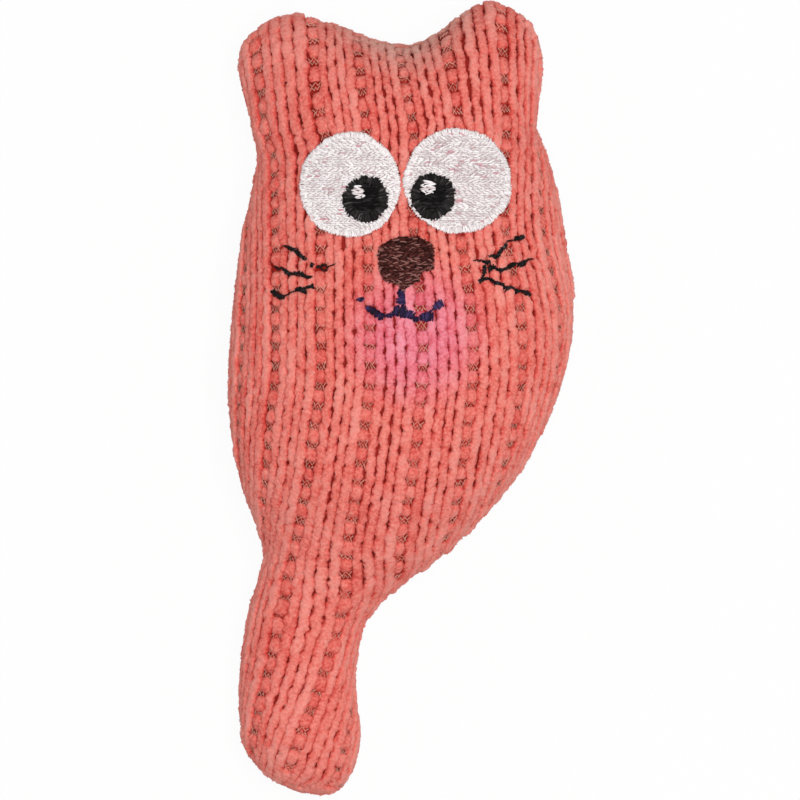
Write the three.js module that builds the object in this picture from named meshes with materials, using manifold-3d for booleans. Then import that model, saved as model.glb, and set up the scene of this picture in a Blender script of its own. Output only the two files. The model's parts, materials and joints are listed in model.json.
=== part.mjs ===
// A knitted catnip toy in the shape of a cat: two chenille panels sewn round their edge, turned and
// stuffed, with a face embroidered on the front panel and a stuffed tail that bends at its root.
// Millimetres. The toy lies on its back: +Z out of the face, +Y towards the ears, +X to the viewer's right.
import * as THREE from 'three';
import { mergeVertices } from 'three/addons/utils/BufferGeometryUtils.js';
import Module from 'manifold-3d';

const wasm = await Module();
wasm.setup();

// Knit, thread and clearances
const KNIT = 2.4;
const CLEARANCE = 0.3;
const THREAD_RADIUS = 0.25;
const GROOVE = 0.7;
const STITCH_HEIGHT = 0.7;
const REST_CUT = 0.5;

// Outline down the toy: place along Y, middle and width along X, swell of front and back from the seam,
// and the knit's ribs: the X of one groove between ribs, and the pitch of the grooves to either side of it
const BROW = {
  y: 58, middle: -1.2, width: 61, front: 19.5, back: 14,
  rib: -7.3, leftPitch: 12.6, rightPitch: 10.7,
};
const NECK = {
  y: 50, middle: 0.9, width: 62.8, front: 20.5, back: 15,
  rib: -7.3, leftPitch: 11.9, rightPitch: 10.4,
};
const CHEST = {
  y: 36, middle: 0.9, width: 68.8, front: 22.5, back: 16.5,
  rib: -7.1, leftPitch: 11.1, rightPitch: 10.3,
};
const BELLY = {
  y: 17, middle: 0.6, width: 73, front: 24, back: 17.5,
  rib: -6.6, leftPitch: 11, rightPitch: 11.4,
};
const PAUNCH = {
  y: -1, middle: -1.7, width: 69.8, front: 23.5, back: 17,
  rib: -6.9, leftPitch: 11.2, rightPitch: 11.5,
};
const HIPS = {
  y: -17.3, middle: -4.8, width: 58.5, front: 20.5, back: 15.5,
  rib: -8.9, leftPitch: 11.3, rightPitch: 11.5,
};
const RUMP = {
  y: -31, middle: -8.8, width: 41.2, front: 16, back: 12.5,
  rib: -11.4, leftPitch: 12.1, rightPitch: 12.1,
};
const HAUNCH = {
  y: -39, middle: -14.7, width: 31.5, front: 13.5, back: 11,
  rib: -11.4, leftPitch: 13.5, rightPitch: 13.5,
};
const TAIL_ROOT = {
  y: -48, middle: -20.2, width: 25.2, front: 12, back: 10.2,
  rib: -12.6, leftPitch: 14, rightPitch: 14,
};
const TAIL_WAIST = {
  y: -60, middle: -21.8, width: 25, front: 11.5, back: 10,
  rib: -16.3, leftPitch: 12.8, rightPitch: 12.8,
};
const TAIL_BULB = {
  y: -70, middle: -21.2, width: 25.8, front: 12, back: 10.2,
  rib: -20.4, leftPitch: 12.1, rightPitch: 12.1,
};
const STATIONS = [
  BROW, NECK, CHEST, BELLY, PAUNCH, HIPS, RUMP, HAUNCH, TAIL_ROOT, TAIL_WAIST, TAIL_BULB,
];

// Rounded end of the tail below its bulb
const TAIL_END = 14.7;
const TIP_SHIFT = 5.4;

// Crown of the head: two ear corners of unlike height with a dip between them
const EAR_SPAN = 65.4;
const EAR_MIDDLE = -2;
const CORNER_RISE = 12;
const DIP_RISE = 17.2;
const LEFT_EAR_RISE = 24.4;
const RIGHT_EAR_RISE = 27.7;
const DIP_AT = 0.1;
const LEFT_EAR_AT = 0.68;
const RIGHT_EAR_AT = 0.72;
const EAR_SQUARENESS = 6.9;

// Wide rib of the knit: the groove between two ribs, and how it fades out at the seam
const RIB_DEPTH = 1;
const RIB_GROOVE = 3.2;
const RIB_FADE = 4;
const RIB_CLEAR = 0.8;
const RIBS_ASIDE = 5;

// Roundness of a cross-section, and how finely the panels are divided
const BULGE_POWER = 2.2;
const SECTION_STEPS = 60;
const ROWS_PER_STATION = 2;
const CAP_ROWS = 5;

// Tail bend: half range, the lean of the tail, and the part of the bend that the body's lip makes room for
const TAIL_BEND_DEG = 25;
const TAIL_LEAN_DEG = 12;
const LIP_DEG = 8;
const BEND_SPARE_DEG = 2;
const JOINT_MARGIN = 0.5;

// Seam: the stretch above the tail, on the viewer's right, that is closed by hand after stuffing
const CLOSING_LENGTH = 40;
const THREAD_BREAK = 0.6;

// Stuffing and the catnip pouch in the middle of it
const FILL_SPLIT = 18;
const POUCH_RADIUS = 14;
const POUCH_HEIGHT = 9;
const POUCH_RIM = 3;
const POUCH_SHEET = 0.6;

// Embroidered face: sizes, and places from the line between the eyes
const FACE_X = 0.6;
const EYE_Y = 45.9;
const EYE_GAP = 0.7;
const LEFT_EYE_SIZE = { width: 21.5, height: 22.2, rise: -0.4 };
const RIGHT_EYE_SIZE = { width: 22.7, height: 22.5, rise: 0.4 };
const PUPIL_WIDTH = 9.5;
const PUPIL_HEIGHT = 9.8;
const LEFT_PUPIL_INSET = 2.7;
const RIGHT_PUPIL_INSET = 1.3;
const PUPIL_DROP = 3.3;
const GLINT_HEIGHT = 3;
const LEFT_GLINT = { width: 2.7, x: -1.5, y: 1.5 };
const RIGHT_GLINT = { width: 3.7, x: -0.9, y: 1.8 };
const NOSE_WIDTH = 12.4;
const NOSE_HEIGHT = 10.8;
const NOSE_TAPER = 0.34;
const NOSE_SQUARENESS = 0.75;
const NOSE_SHIFT = 0.9;
const PHILTRUM = 5;
const MOUTH_WIDTH = 1.4;
const WHISKER_WIDTH = 1.2;
const BACKING = 0.4;
const BACKING_MARGIN = 10;
const BACKING_HEIGHT = 40;

// Stitched lines: lips from the foot of the philtrum, whiskers from the middle of the nose
const MOUTH_LEFT = [[-1.7, -0.7], [-4.7, -1.8], [-7.9, 0.8]];
const MOUTH_RIGHT = [[1.3, -0.8], [3.5, -1.8], [6, -1.3], [7.9, 2.1]];
const WHISKERS = {
  left_whisker_upper: [[-25.8, 3.4], [-21.5, 0.4], [-15.3, -0.4]],
  left_whisker_middle: [[-28.3, -1.2], [-24, -2.3], [-20.2, -3]],
  left_whisker_lower: [[-28.4, -7], [-26.8, -7.5], [-19.8, -5.3]],
  right_whisker_upper: [[25.1, 5.5], [21.9, 2.9], [19.1, 1], [15.3, 0.3]],
  right_whisker_middle: [[16.5, -1.2], [20, -1.8], [24, -0.7], [26.8, 0.4]],
  right_whisker_lower: [[15.7, -4.4], [17, -3.3], [19.3, -4.3], [22.5, -5.8], [26.4, -7.3]],
};

// How finely the small pieces are divided, and how far the cutting blocks reach
const EYE_SIDES = 24;
const PUPIL_SIDES = 14;
const GLINT_SIDES = 8;
const NOSE_SIDES = 18;
const PAD_RINGS = 2;
const RIBBON_STEPS = 3;
const POUCH_SIDES = 14;
const DOME_STEPS = 3;
const JOINT_SIDES = 24;
const THREAD_SIDES = 5;
const SEARCH_STEPS = 24;
const WELD = 1e-4;
const REACH = 400;

// Values worked out from the sizes above
const LAST = STATIONS.length - 1;
const HALF_SEAM = CLEARANCE / 2;
const FILL_INSET = KNIT + CLEARANCE;
const JOINT_RADIUS = TAIL_ROOT.width / 2 + JOINT_MARGIN;
const EYE_FOOT = EYE_Y + LEFT_EYE_SIZE.rise - LEFT_EYE_SIZE.height / 2;
const NOSE = { x: FACE_X + NOSE_SHIFT, y: EYE_FOOT - NOSE_HEIGHT / 2 };

// Smooth curve of one station value down the toy
function stationCurve(key) {
  return new THREE.SplineCurve(STATIONS.map((station, i) => new THREE.Vector2(i, station[key])));
}

const curves = {};
for (const key of Object.keys(BROW)) curves[key] = stationCurve(key);

function stationValue(key, t) {
  return curves[key].getPoint(t / LAST).y;
}

// Height of the seam, so that the back lies along the floor
function seamHeight(t) {
  return stationValue('back', t) - REST_CUT;
}

// Share of the full swell across the width, from 1 in the middle to 0 at the seam
function bulge(u) {
  return Math.sqrt(Math.max(0, 1 - Math.abs(u) ** BULGE_POWER));
}

// Crown line above the brow, with the two ear corners
function crownRise(u) {
  const { smoothstep } = THREE.MathUtils;
  const left = (LEFT_EAR_RISE - DIP_RISE) * smoothstep(DIP_AT - u, 0, DIP_AT + LEFT_EAR_AT);
  const right = (RIGHT_EAR_RISE - DIP_RISE) * smoothstep(u - DIP_AT, 0, RIGHT_EAR_AT - DIP_AT);
  const corner = Math.sqrt(Math.max(0, 1 - Math.abs(u) ** EAR_SQUARENESS));
  return CORNER_RISE + (DIP_RISE + left + right - CORNER_RISE) * corner;
}

// Point of the stuffed form, drawn in by an inset: side is 1 on the front and -1 on the back
function formPoint(u, row, side, inset, seamGap) {
  const { lerp } = THREE.MathUtils;
  const climb = Math.sin(row.rise);
  const close = Math.cos(row.end);
  const width = lerp(stationValue('width', row.t), EAR_SPAN, climb);
  const middle = lerp(stationValue('middle', row.t), EAR_MIDDLE, climb) + TIP_SHIFT * (1 - close);
  const half = (width / 2 - inset) * close;
  const drop = (TAIL_END - inset) * Math.sin(row.end);
  const y = stationValue('y', row.t) + (crownRise(u) - inset) * climb - drop;
  const swell = stationValue(side > 0 ? 'front' : 'back', row.t) - inset;
  const height = swell * bulge(u) * Math.cos(row.rise) * close;
  const z = seamHeight(row.t) + side * (seamGap + height);
  return new THREE.Vector3(middle + half * u, y, z);
}

// Place across the toy, from -1 to 1, at a share of the turn from the left seam to the right one
function acrossAt(share) {
  return Math.sin(Math.PI * (share - 0.5));
}

// Lengths along the knit across the front at a station, from the left seam, at even shares of the turn
function sectionLengths(t) {
  const row = { t, rise: 0, end: 0 };
  const lengths = [0];
  let last = formPoint(-1, row, 1, 0, 0);
  for (let i = 1; i <= SECTION_STEPS; i += 1) {
    const point = formPoint(acrossAt(i / SECTION_STEPS), row, 1, 0, 0);
    lengths.push(lengths[i - 1] + point.distanceTo(last));
    last = point;
  }
  return lengths;
}

// Columns that the panels are divided into at a station. Each groove has two lips and a bottom, and each rib
// a middle. Grooves that run out past a seam lie on it. The inside has no lips: plain is its place across.
function makeColumns(t) {
  const { clamp, inverseLerp, lerp } = THREE.MathUtils;
  const lengths = sectionLengths(t);
  const whole = lengths[SECTION_STEPS];
  const lineAcross = (stationValue('rib', t) - stationValue('middle', t)) / (stationValue('width', t) / 2);
  const lineTurn = SECTION_STEPS * (0.5 + Math.asin(clamp(lineAcross, -1, 1)) / Math.PI);
  const step = Math.min(Math.floor(lineTurn), SECTION_STEPS - 1);
  const line = lerp(lengths[step], lengths[step + 1], lineTurn - step);
  const grooveAt = (k) => line + k * stationValue(k < 0 ? 'leftPitch' : 'rightPitch', t);
  const place = (length) => {
    if (length < RIB_CLEAR) return -1;
    if (length > whole - RIB_CLEAR) return 1;
    const after = lengths.findIndex((reached) => reached >= length);
    return acrossAt((after - 1 + inverseLerp(lengths[after - 1], lengths[after], length)) / SECTION_STEPS);
  };
  const columns = [];
  const addColumn = (length, plainLength, depth) => {
    columns.push({ u: place(length), plain: place(plainLength), depth });
  };
  addColumn(0, 0, 0);
  for (let k = -RIBS_ASIDE; k <= RIBS_ASIDE; k += 1) {
    const middle = grooveAt(k);
    const seamward = Math.min(middle, whole - middle) - RIB_CLEAR;
    const depth = RIB_DEPTH * clamp(seamward / RIB_FADE, 0, 1);
    addColumn(middle - RIB_GROOVE / 2, middle, 0);
    addColumn(middle, middle, depth);
    addColumn(middle + RIB_GROOVE / 2, middle, 0);
    const ribMiddle = (middle + grooveAt(k + 1)) / 2;
    addColumn(ribMiddle, ribMiddle, 0);
  }
  addColumn(whole, whole, 0);
  return columns;
}

// Rows down the toy: over the crown, along the stations, and round the end of the tail
function makeRow(t, rise, end) {
  return { t, rise, end, columns: makeColumns(t) };
}

function makeRows() {
  const rows = [];
  for (let i = 0; i < CAP_ROWS; i += 1) rows.push(makeRow(0, (Math.PI / 2) * (1 - i / CAP_ROWS), 0));
  for (let i = 0; i <= LAST * ROWS_PER_STATION; i += 1) rows.push(makeRow(i / ROWS_PER_STATION, 0, 0));
  for (let i = 1; i < CAP_ROWS; i += 1) rows.push(makeRow(LAST, 0, (Math.PI / 2) * (i / CAP_ROWS)));
  return rows;
}

const ROWS = makeRows();
const TIP_ROW = { t: LAST, rise: 0, end: Math.PI / 2 };

// Height of the front surface over a point of the toy above its tail, drawn in by an inset
function frontHeight(x, y, inset) {
  const { clamp, lerp } = THREE.MathUtils;
  let above = 0;
  let below = LAST;
  let climb = 0;
  let u = 0;
  for (let i = 0; i < SEARCH_STEPS; i += 1) {
    const t = (above + below) / 2;
    if (stationValue('y', t) > y) above = t;
    else below = t;
    const half = lerp(stationValue('width', above), EAR_SPAN, climb) / 2 - inset;
    u = (x - lerp(stationValue('middle', above), EAR_MIDDLE, climb)) / half;
    climb = clamp((y - BROW.y) / (crownRise(u) - inset), 0, 1);
  }
  const swell = stationValue('front', above) - inset;
  return seamHeight(above) + HALF_SEAM + swell * bulge(u) * Math.sqrt(1 - climb ** 2);
}

// Triangle lists and closed geometries
function quad(list, a, b, c, d) {
  list.push(a, b, c, a, c, d);
}

// One closed surface: shared corners are merged and triangles that shrank to a line are dropped
function welded(geometry) {
  geometry.deleteAttribute('normal');
  geometry.deleteAttribute('uv');
  const joined = mergeVertices(geometry, WELD);
  const index = joined.getIndex().array;
  const kept = [];
  for (let i = 0; i < index.length; i += 3) {
    const [a, b, c] = [index[i], index[i + 1], index[i + 2]];
    if (a !== b && b !== c && c !== a) kept.push(a, b, c);
  }
  joined.setIndex(kept);
  return joined;
}

function closedGeometry(points) {
  return welded(new THREE.BufferGeometry().setFromPoints(points));
}

function flipped(points) {
  const turned = [];
  for (let i = 0; i < points.length; i += 3) turned.push(points[i], points[i + 2], points[i + 1]);
  return turned;
}

// A grid of points on one side of the form, closed at the tail's tip: its triangles face away from the seam
function gridTriangles(grid, tip, side) {
  const list = [];
  const lowest = grid[grid.length - 1];
  for (let c = 0; c + 1 < lowest.length; c += 1) {
    for (let r = 0; r + 1 < grid.length; r += 1) {
      quad(list, grid[r][c], grid[r + 1][c], grid[r + 1][c + 1], grid[r][c + 1]);
    }
    list.push(lowest[c], tip, lowest[c + 1]);
  }
  return side > 0 ? list : flipped(list);
}

// One side of the form, smooth and drawn in by an inset
function sideTriangles(side, inset, seamGap) {
  const at = (u, row) => formPoint(u, row, side, inset, seamGap);
  const grid = ROWS.map((row) => row.columns.map(({ plain }) => at(plain, row)));
  return gridTriangles(grid, at(0, TIP_ROW), side);
}

// The outside of one panel, with its ribs, which fade out towards the crown and the tail's tip
function ribbedTriangles(side, seamGap) {
  const at = ({ u, depth }, row) => {
    const inset = depth * Math.cos(row.rise) * Math.cos(row.end);
    return formPoint(u, row, side, inset, seamGap);
  };
  const grid = ROWS.map((row) => row.columns.map((column) => at(column, row)));
  return gridTriangles(grid, formPoint(0, TIP_ROW, side, 0, seamGap), side);
}

// Seam line: down the left edge, round the tail, up the right edge and back over the crown, where the columns
// are those of the outside, u, or of the inside, plain
function seamLoop(side, inset, lift, places = 'plain') {
  const at = (u, row) => formPoint(u, row, side, inset, lift);
  const left = ROWS.map((row) => at(-1, row));
  const right = ROWS.map((row) => at(1, row)).reverse();
  const crown = ROWS[0].columns.slice(1, -1).reverse().map((column) => at(column[places], ROWS[0]));
  return [...left, at(0, TIP_ROW), ...right, ...crown];
}

// A knit panel with a grooved edge that lies against the other panel
function panelGeometry(side) {
  const profile = [
    { inset: 0, lift: 0, places: 'u' },
    { inset: KNIT / 2 - GROOVE, lift: 0 },
    { inset: KNIT / 2, lift: GROOVE },
    { inset: KNIT / 2 + GROOVE, lift: 0 },
    { inset: KNIT, lift: 0 },
  ];
  const loops = profile.map(({ inset, lift, places }) => seamLoop(side, inset, HALF_SEAM + lift, places));
  const edge = [];
  for (let p = 0; p + 1 < loops.length; p += 1) {
    const [outer, inner] = [loops[p], loops[p + 1]];
    outer.forEach((point, k) => {
      const next = (k + 1) % outer.length;
      quad(edge, point, inner[k], inner[next], outer[next]);
    });
  }
  const outside = ribbedTriangles(side, HALF_SEAM);
  const inside = flipped(sideTriangles(side, KNIT, HALF_SEAM));
  return closedGeometry([...outside, ...inside, ...(side > 0 ? edge : flipped(edge))]);
}

// Stuffing that fills the panels
function fillGeometry() {
  return closedGeometry([...sideTriangles(1, FILL_INSET, 0), ...sideTriangles(-1, FILL_INSET, 0)]);
}

// Round thread through a list of points that stay close to level
function threadGeometry(points) {
  const rings = points.map((point, i) => {
    const before = points[Math.max(i - 1, 0)];
    const after = points[Math.min(i + 1, points.length - 1)];
    const along = after.clone().sub(before).normalize();
    const across = new THREE.Vector3(0, 0, 1).cross(along).normalize();
    const upward = along.clone().cross(across);
    const ring = [];
    for (let s = 0; s < THREAD_SIDES; s += 1) {
      const turn = (2 * Math.PI * s) / THREAD_SIDES;
      const offset = across.clone().multiplyScalar(THREAD_RADIUS * Math.cos(turn));
      offset.addScaledVector(upward, THREAD_RADIUS * Math.sin(turn));
      ring.push(point.clone().add(offset));
    }
    return ring;
  });
  const list = [];
  for (let i = 0; i + 1 < rings.length; i += 1) {
    for (let s = 0; s < THREAD_SIDES; s += 1) {
      const next = (s + 1) % THREAD_SIDES;
      quad(list, rings[i][s], rings[i][next], rings[i + 1][next], rings[i + 1][s]);
    }
  }
  const last = rings.length - 1;
  for (let s = 0; s < THREAD_SIDES; s += 1) {
    const next = (s + 1) % THREAD_SIDES;
    list.push(points[0], rings[0][next], rings[0][s]);
    list.push(points[last], rings[last][s], rings[last][next]);
  }
  return closedGeometry(list);
}

// Solids: joining and cutting
function solid(geometry) {
  const position = geometry.getAttribute('position');
  return new wasm.Manifold(new wasm.Mesh({
    numProp: 3,
    vertProperties: new Float32Array(position.array),
    triVerts: new Uint32Array(geometry.getIndex().array),
  }));
}

function geometryOf(body) {
  const { vertProperties, triVerts } = body.getMesh();
  const geometry = new THREE.BufferGeometry();
  geometry.setAttribute('position', new THREE.BufferAttribute(new Float32Array(vertProperties), 3));
  geometry.setIndex(new THREE.BufferAttribute(new Uint32Array(triVerts), 1));
  return geometry;
}

// A tall block over a flat outline
function blockOver(shape) {
  const geometry = new THREE.ExtrudeGeometry(shape, {
    depth: REACH, bevelEnabled: false, curveSegments: JOINT_SIDES,
  });
  geometry.translate(0, 0, -REACH / 2);
  return solid(welded(geometry));
}

// Space of one body at the tail joint: a wedge with the joint's round either cut out or added
function jointSpace(radius, wedgeDeg, up) {
  const wedge = THREE.MathUtils.degToRad(wedgeDeg);
  const shape = new THREE.Shape();
  shape.moveTo(REACH * Math.cos(wedge), REACH * Math.sin(wedge));
  shape.lineTo(radius * Math.cos(wedge), radius * Math.sin(wedge));
  shape.absarc(0, 0, radius, wedge, Math.PI - wedge, false);
  shape.lineTo(-REACH * Math.cos(wedge), REACH * Math.sin(wedge));
  shape.lineTo(-REACH, up * REACH);
  shape.lineTo(REACH, up * REACH);
  shape.closePath();
  const lean = THREE.MathUtils.degToRad(-TAIL_LEAN_DEG);
  const place = new THREE.Matrix4().makeRotationZ(lean);
  place.setPosition(TAIL_ROOT.middle, TAIL_ROOT.y, 0);
  const geometry = geometryOf(blockOver(shape)).applyMatrix4(place);
  return solid(geometry);
}

const bodySpace = jointSpace(JOINT_RADIUS + CLEARANCE, LIP_DEG, 1);
const tailSpace = jointSpace(JOINT_RADIUS, LIP_DEG - TAIL_BEND_DEG - BEND_SPARE_DEG, -1);

// Space above or below a level line across the toy
function bandSpace(low, high) {
  const shape = new THREE.Shape();
  shape.moveTo(-REACH, low);
  shape.lineTo(REACH, low);
  shape.lineTo(REACH, high);
  shape.lineTo(-REACH, high);
  return blockOver(shape);
}

// Pad over a closed outline, between two heights from the panel's surface drawn in by an inset
function padGeometry(outline, middle, inset, low, high) {
  const level = (height) => {
    const over = (x, y) => new THREE.Vector3(x, y, frontHeight(x, y, inset) + height);
    const hoops = [outline.map(() => over(middle.x, middle.y))];
    for (let r = 1; r <= PAD_RINGS; r += 1) {
      const share = r / PAD_RINGS;
      hoops.push(outline.map(([x, y]) => over(middle.x + x * share, middle.y + y * share)));
    }
    return hoops;
  };
  const top = level(high);
  const bottom = level(low);
  const list = [];
  outline.forEach((corner, s) => {
    const next = (s + 1) % outline.length;
    for (let r = 0; r < PAD_RINGS; r += 1) {
      quad(list, top[r][s], top[r + 1][s], top[r + 1][next], top[r][next]);
      quad(list, bottom[r][s], bottom[r][next], bottom[r + 1][next], bottom[r + 1][s]);
    }
    const [rim, foot] = [top[PAD_RINGS], bottom[PAD_RINGS]];
    quad(list, foot[s], foot[next], rim[next], rim[s]);
  });
  return closedGeometry(list);
}

// Embroidered patch on the panel, and the hole that another patch leaves for it
function patch(outline, middle) {
  return solid(padGeometry(outline, middle, 0, CLEARANCE, CLEARANCE + STITCH_HEIGHT));
}

function patchHole(outline, middle) {
  return solid(padGeometry(outline, middle, 0, -STITCH_HEIGHT, CLEARANCE + 2 * STITCH_HEIGHT));
}

function ellipse(width, height, sides) {
  const curve = new THREE.EllipseCurve(0, 0, width / 2, height / 2);
  return curve.getPoints(sides).slice(0, sides).map((point) => [point.x, point.y]);
}

// Nose outline: an ellipse squared off and narrowed towards the mouth
function noseOutline() {
  return ellipse(2, 2, NOSE_SIDES).map(([x, y]) => {
    const squared = Math.sign(x) * Math.abs(x) ** NOSE_SQUARENESS;
    const narrowed = (1 + NOSE_TAPER * y) / (1 + NOSE_TAPER / 2);
    return [(NOSE_WIDTH / 2) * squared * narrowed, (NOSE_HEIGHT / 2) * y];
  });
}

// Stitched line: a flat ribbon that follows the panel's surface
function ribbonGeometry(points, width) {
  const path = new THREE.SplineCurve(points.map(([x, y]) => new THREE.Vector2(NOSE.x + x, NOSE.y + y)));
  const steps = RIBBON_STEPS * (points.length - 1);
  const corner = (p, height) => new THREE.Vector3(p.x, p.y, frontHeight(p.x, p.y, 0) + height);
  const [low, high] = [CLEARANCE, CLEARANCE + STITCH_HEIGHT];
  const rings = [];
  for (let i = 0; i <= steps; i += 1) {
    const at = path.getPoint(i / steps);
    const along = path.getTangent(i / steps);
    const side = new THREE.Vector2(-along.y, along.x).multiplyScalar(width / 2);
    const [left, right] = [at.clone().add(side), at.clone().sub(side)];
    rings.push([corner(left, low), corner(right, low), corner(right, high), corner(left, high)]);
  }
  const list = [];
  for (let i = 0; i < steps; i += 1) {
    rings[i].forEach((point, s) => {
      const next = (s + 1) % rings[i].length;
      quad(list, point, rings[i + 1][s], rings[i + 1][next], rings[i][next]);
    });
  }
  quad(list, ...rings[0]);
  quad(list, ...rings[steps].reverse());
  return closedGeometry(list);
}

// Materials
function cloth(color, roughness) {
  return new THREE.MeshStandardMaterial({ color, roughness, metalness: 0 });
}

const coralKnit = cloth(0xe06c62, 0.95);
const seamThread = cloth(0xd8685e, 0.8);
const fibreFill = cloth(0xf4f1ea, 1);
const pouchCloth = cloth(0xe9e6dc, 0.95);
const driedHerb = cloth(0x77804a, 1);
const backingCloth = cloth(0xf0eee8, 0.95);
const whiteThread = cloth(0xe4d4d2, 0.6);
const blackThread = cloth(0x28242a, 0.6);
const brownThread = cloth(0x5d3331, 0.6);
const plumThread = cloth(0x432440, 0.6);

const toy = new THREE.Group();

function addPiece(name, geometry, material) {
  geometry.computeVertexNormals();
  const mesh = new THREE.Mesh(geometry, material);
  mesh.name = name;
  toy.add(mesh);
}

// Panels, the back one flattened where it lies on the floor, and each cut at the tail's root
const belowFloor = solid(welded(new THREE.BoxGeometry(REACH, REACH, REACH).translate(0, 0, -REACH / 2)));
const frontKnit = solid(panelGeometry(1));
const backKnit = solid(panelGeometry(-1)).subtract(belowFloor);
addPiece('front_panel', geometryOf(frontKnit.intersect(bodySpace)), coralKnit);
addPiece('back_panel', geometryOf(backKnit.intersect(bodySpace)), coralKnit);
addPiece('tail_front_panel', geometryOf(frontKnit.intersect(tailSpace)), coralKnit);
addPiece('tail_back_panel', geometryOf(backKnit.intersect(tailSpace)), coralKnit);

// Threads in the groove between the panels: machine seam, hand-closed stretch and tail seam
const loop = seamLoop(1, KNIT / 2, 0)
  .filter((point, i, all) => point.distanceTo(all[(i + 1) % all.length]) > WELD);
const tipAt = ROWS.length;
const fromJoint = (point) => {
  const lean = THREE.MathUtils.degToRad(TAIL_LEAN_DEG);
  return new THREE.Vector3(point.x - TAIL_ROOT.middle, point.y - TAIL_ROOT.y, 0)
    .applyAxisAngle(new THREE.Vector3(0, 0, 1), lean);
};
const onBody = (point) => fromJoint(point).length() > JOINT_RADIUS + 2 * CLEARANCE && fromJoint(point).y > 0;
const onTail = (point) => fromJoint(point).length() < JOINT_RADIUS - CLEARANCE || fromJoint(point).y < 0;
const bodyLoop = [...loop.slice(tipAt), ...loop.slice(0, tipAt)].filter(onBody);
let closingEnd = 0;
for (let sewn = 0; sewn < CLOSING_LENGTH; closingEnd += 1) {
  sewn += bodyLoop[closingEnd].distanceTo(bodyLoop[closingEnd + 1]);
}
const handSewn = bodyLoop.slice(0, closingEnd + 1);
const onward = bodyLoop[closingEnd + 1].clone().sub(bodyLoop[closingEnd]).setLength(THREAD_BREAK);
const machineSewn = [bodyLoop[closingEnd].clone().add(onward), ...bodyLoop.slice(closingEnd + 1)];
addPiece('seam_thread', threadGeometry(machineSewn), seamThread);
addPiece('closing_thread', threadGeometry(handSewn), seamThread);
addPiece('tail_seam_thread', threadGeometry(loop.filter(onTail)), seamThread);

// Catnip pouch: two sheets sealed at the rim round a lens of dried herb, domed along a parabola
function dome(radius, foot, crown) {
  const points = [];
  for (let i = 0; i <= DOME_STEPS; i += 1) {
    const share = i / DOME_STEPS;
    points.push(new THREE.Vector2(radius * share, foot + (crown - foot) * (1 - share ** 2)));
  }
  return points;
}

function pouchPiece(profile, side) {
  const geometry = new THREE.LatheGeometry(profile, POUCH_SIDES);
  geometry.rotateX(side * (Math.PI / 2));
  geometry.translate(BELLY.middle, FILL_SPLIT, seamHeight(STATIONS.indexOf(BELLY)));
  return welded(geometry);
}

const pouchCrown = POUCH_HEIGHT / 2;
const pouchDome = POUCH_RADIUS - POUCH_RIM;
const sheetTop = HALF_SEAM + POUCH_SHEET;
const sheetProfile = [
  ...dome(pouchDome - POUCH_SHEET, HALF_SEAM, pouchCrown - POUCH_SHEET),
  new THREE.Vector2(POUCH_RADIUS, HALF_SEAM),
  new THREE.Vector2(POUCH_RADIUS, sheetTop),
  ...dome(pouchDome, sheetTop, pouchCrown).reverse(),
];
const herbDome = dome(pouchDome - POUCH_SHEET - CLEARANCE, 0, pouchCrown - POUCH_SHEET - CLEARANCE);
const mirrored = (points) => points.map((point) => new THREE.Vector2(point.x, -point.y));
const herbProfile = [...mirrored(herbDome), ...herbDome.reverse()];
const hollowDome = [
  new THREE.Vector2(POUCH_RADIUS + CLEARANCE, sheetTop + CLEARANCE),
  ...dome(pouchDome, sheetTop + CLEARANCE, pouchCrown + CLEARANCE).reverse(),
];
const hollowProfile = [...mirrored(hollowDome).reverse(), ...hollowDome];
addPiece('catnip_pouch_front', pouchPiece(sheetProfile, 1), pouchCloth);
addPiece('catnip_pouch_back', pouchPiece(sheetProfile, -1), pouchCloth);
addPiece('dried_catnip', pouchPiece(herbProfile, 1), driedHerb);

// Backing sheet of the embroidery, inside the front panel
const backingWidth = CHEST.width - 2 * BACKING_MARGIN;
const backingOutline = ellipse(backingWidth, BACKING_HEIGHT, EYE_SIDES);
const backingRoom = ellipse(backingWidth + 2 * CLEARANCE, BACKING_HEIGHT + 2 * CLEARANCE, EYE_SIDES);
const backingTop = -2 * CLEARANCE;
const backingFoot = backingTop - BACKING;
const faceMiddle = { x: FACE_X, y: BROW.y - BACKING_HEIGHT / 2 - CLEARANCE };
const backingSheet = padGeometry(backingOutline, faceMiddle, KNIT, backingFoot, backingTop);
addPiece('face_backing', backingSheet, backingCloth);

// Stuffing of head, belly and tail, with room for the pouch and the backing
const pouchRoom = solid(pouchPiece(hollowProfile, 1));
const backingSpace = solid(padGeometry(backingRoom, faceMiddle, KNIT, backingFoot - CLEARANCE, KNIT));
const stuffing = solid(fillGeometry()).subtract(pouchRoom).subtract(backingSpace);
const headSpace = bandSpace(FILL_SPLIT + HALF_SEAM, REACH);
const bellySpace = bandSpace(-REACH, FILL_SPLIT - HALF_SEAM).intersect(bodySpace);
addPiece('head_fill', geometryOf(stuffing.intersect(headSpace)), fibreFill);
addPiece('belly_fill', geometryOf(stuffing.intersect(bellySpace)), fibreFill);
addPiece('tail_fill', geometryOf(stuffing.intersect(tailSpace)), fibreFill);

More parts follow.
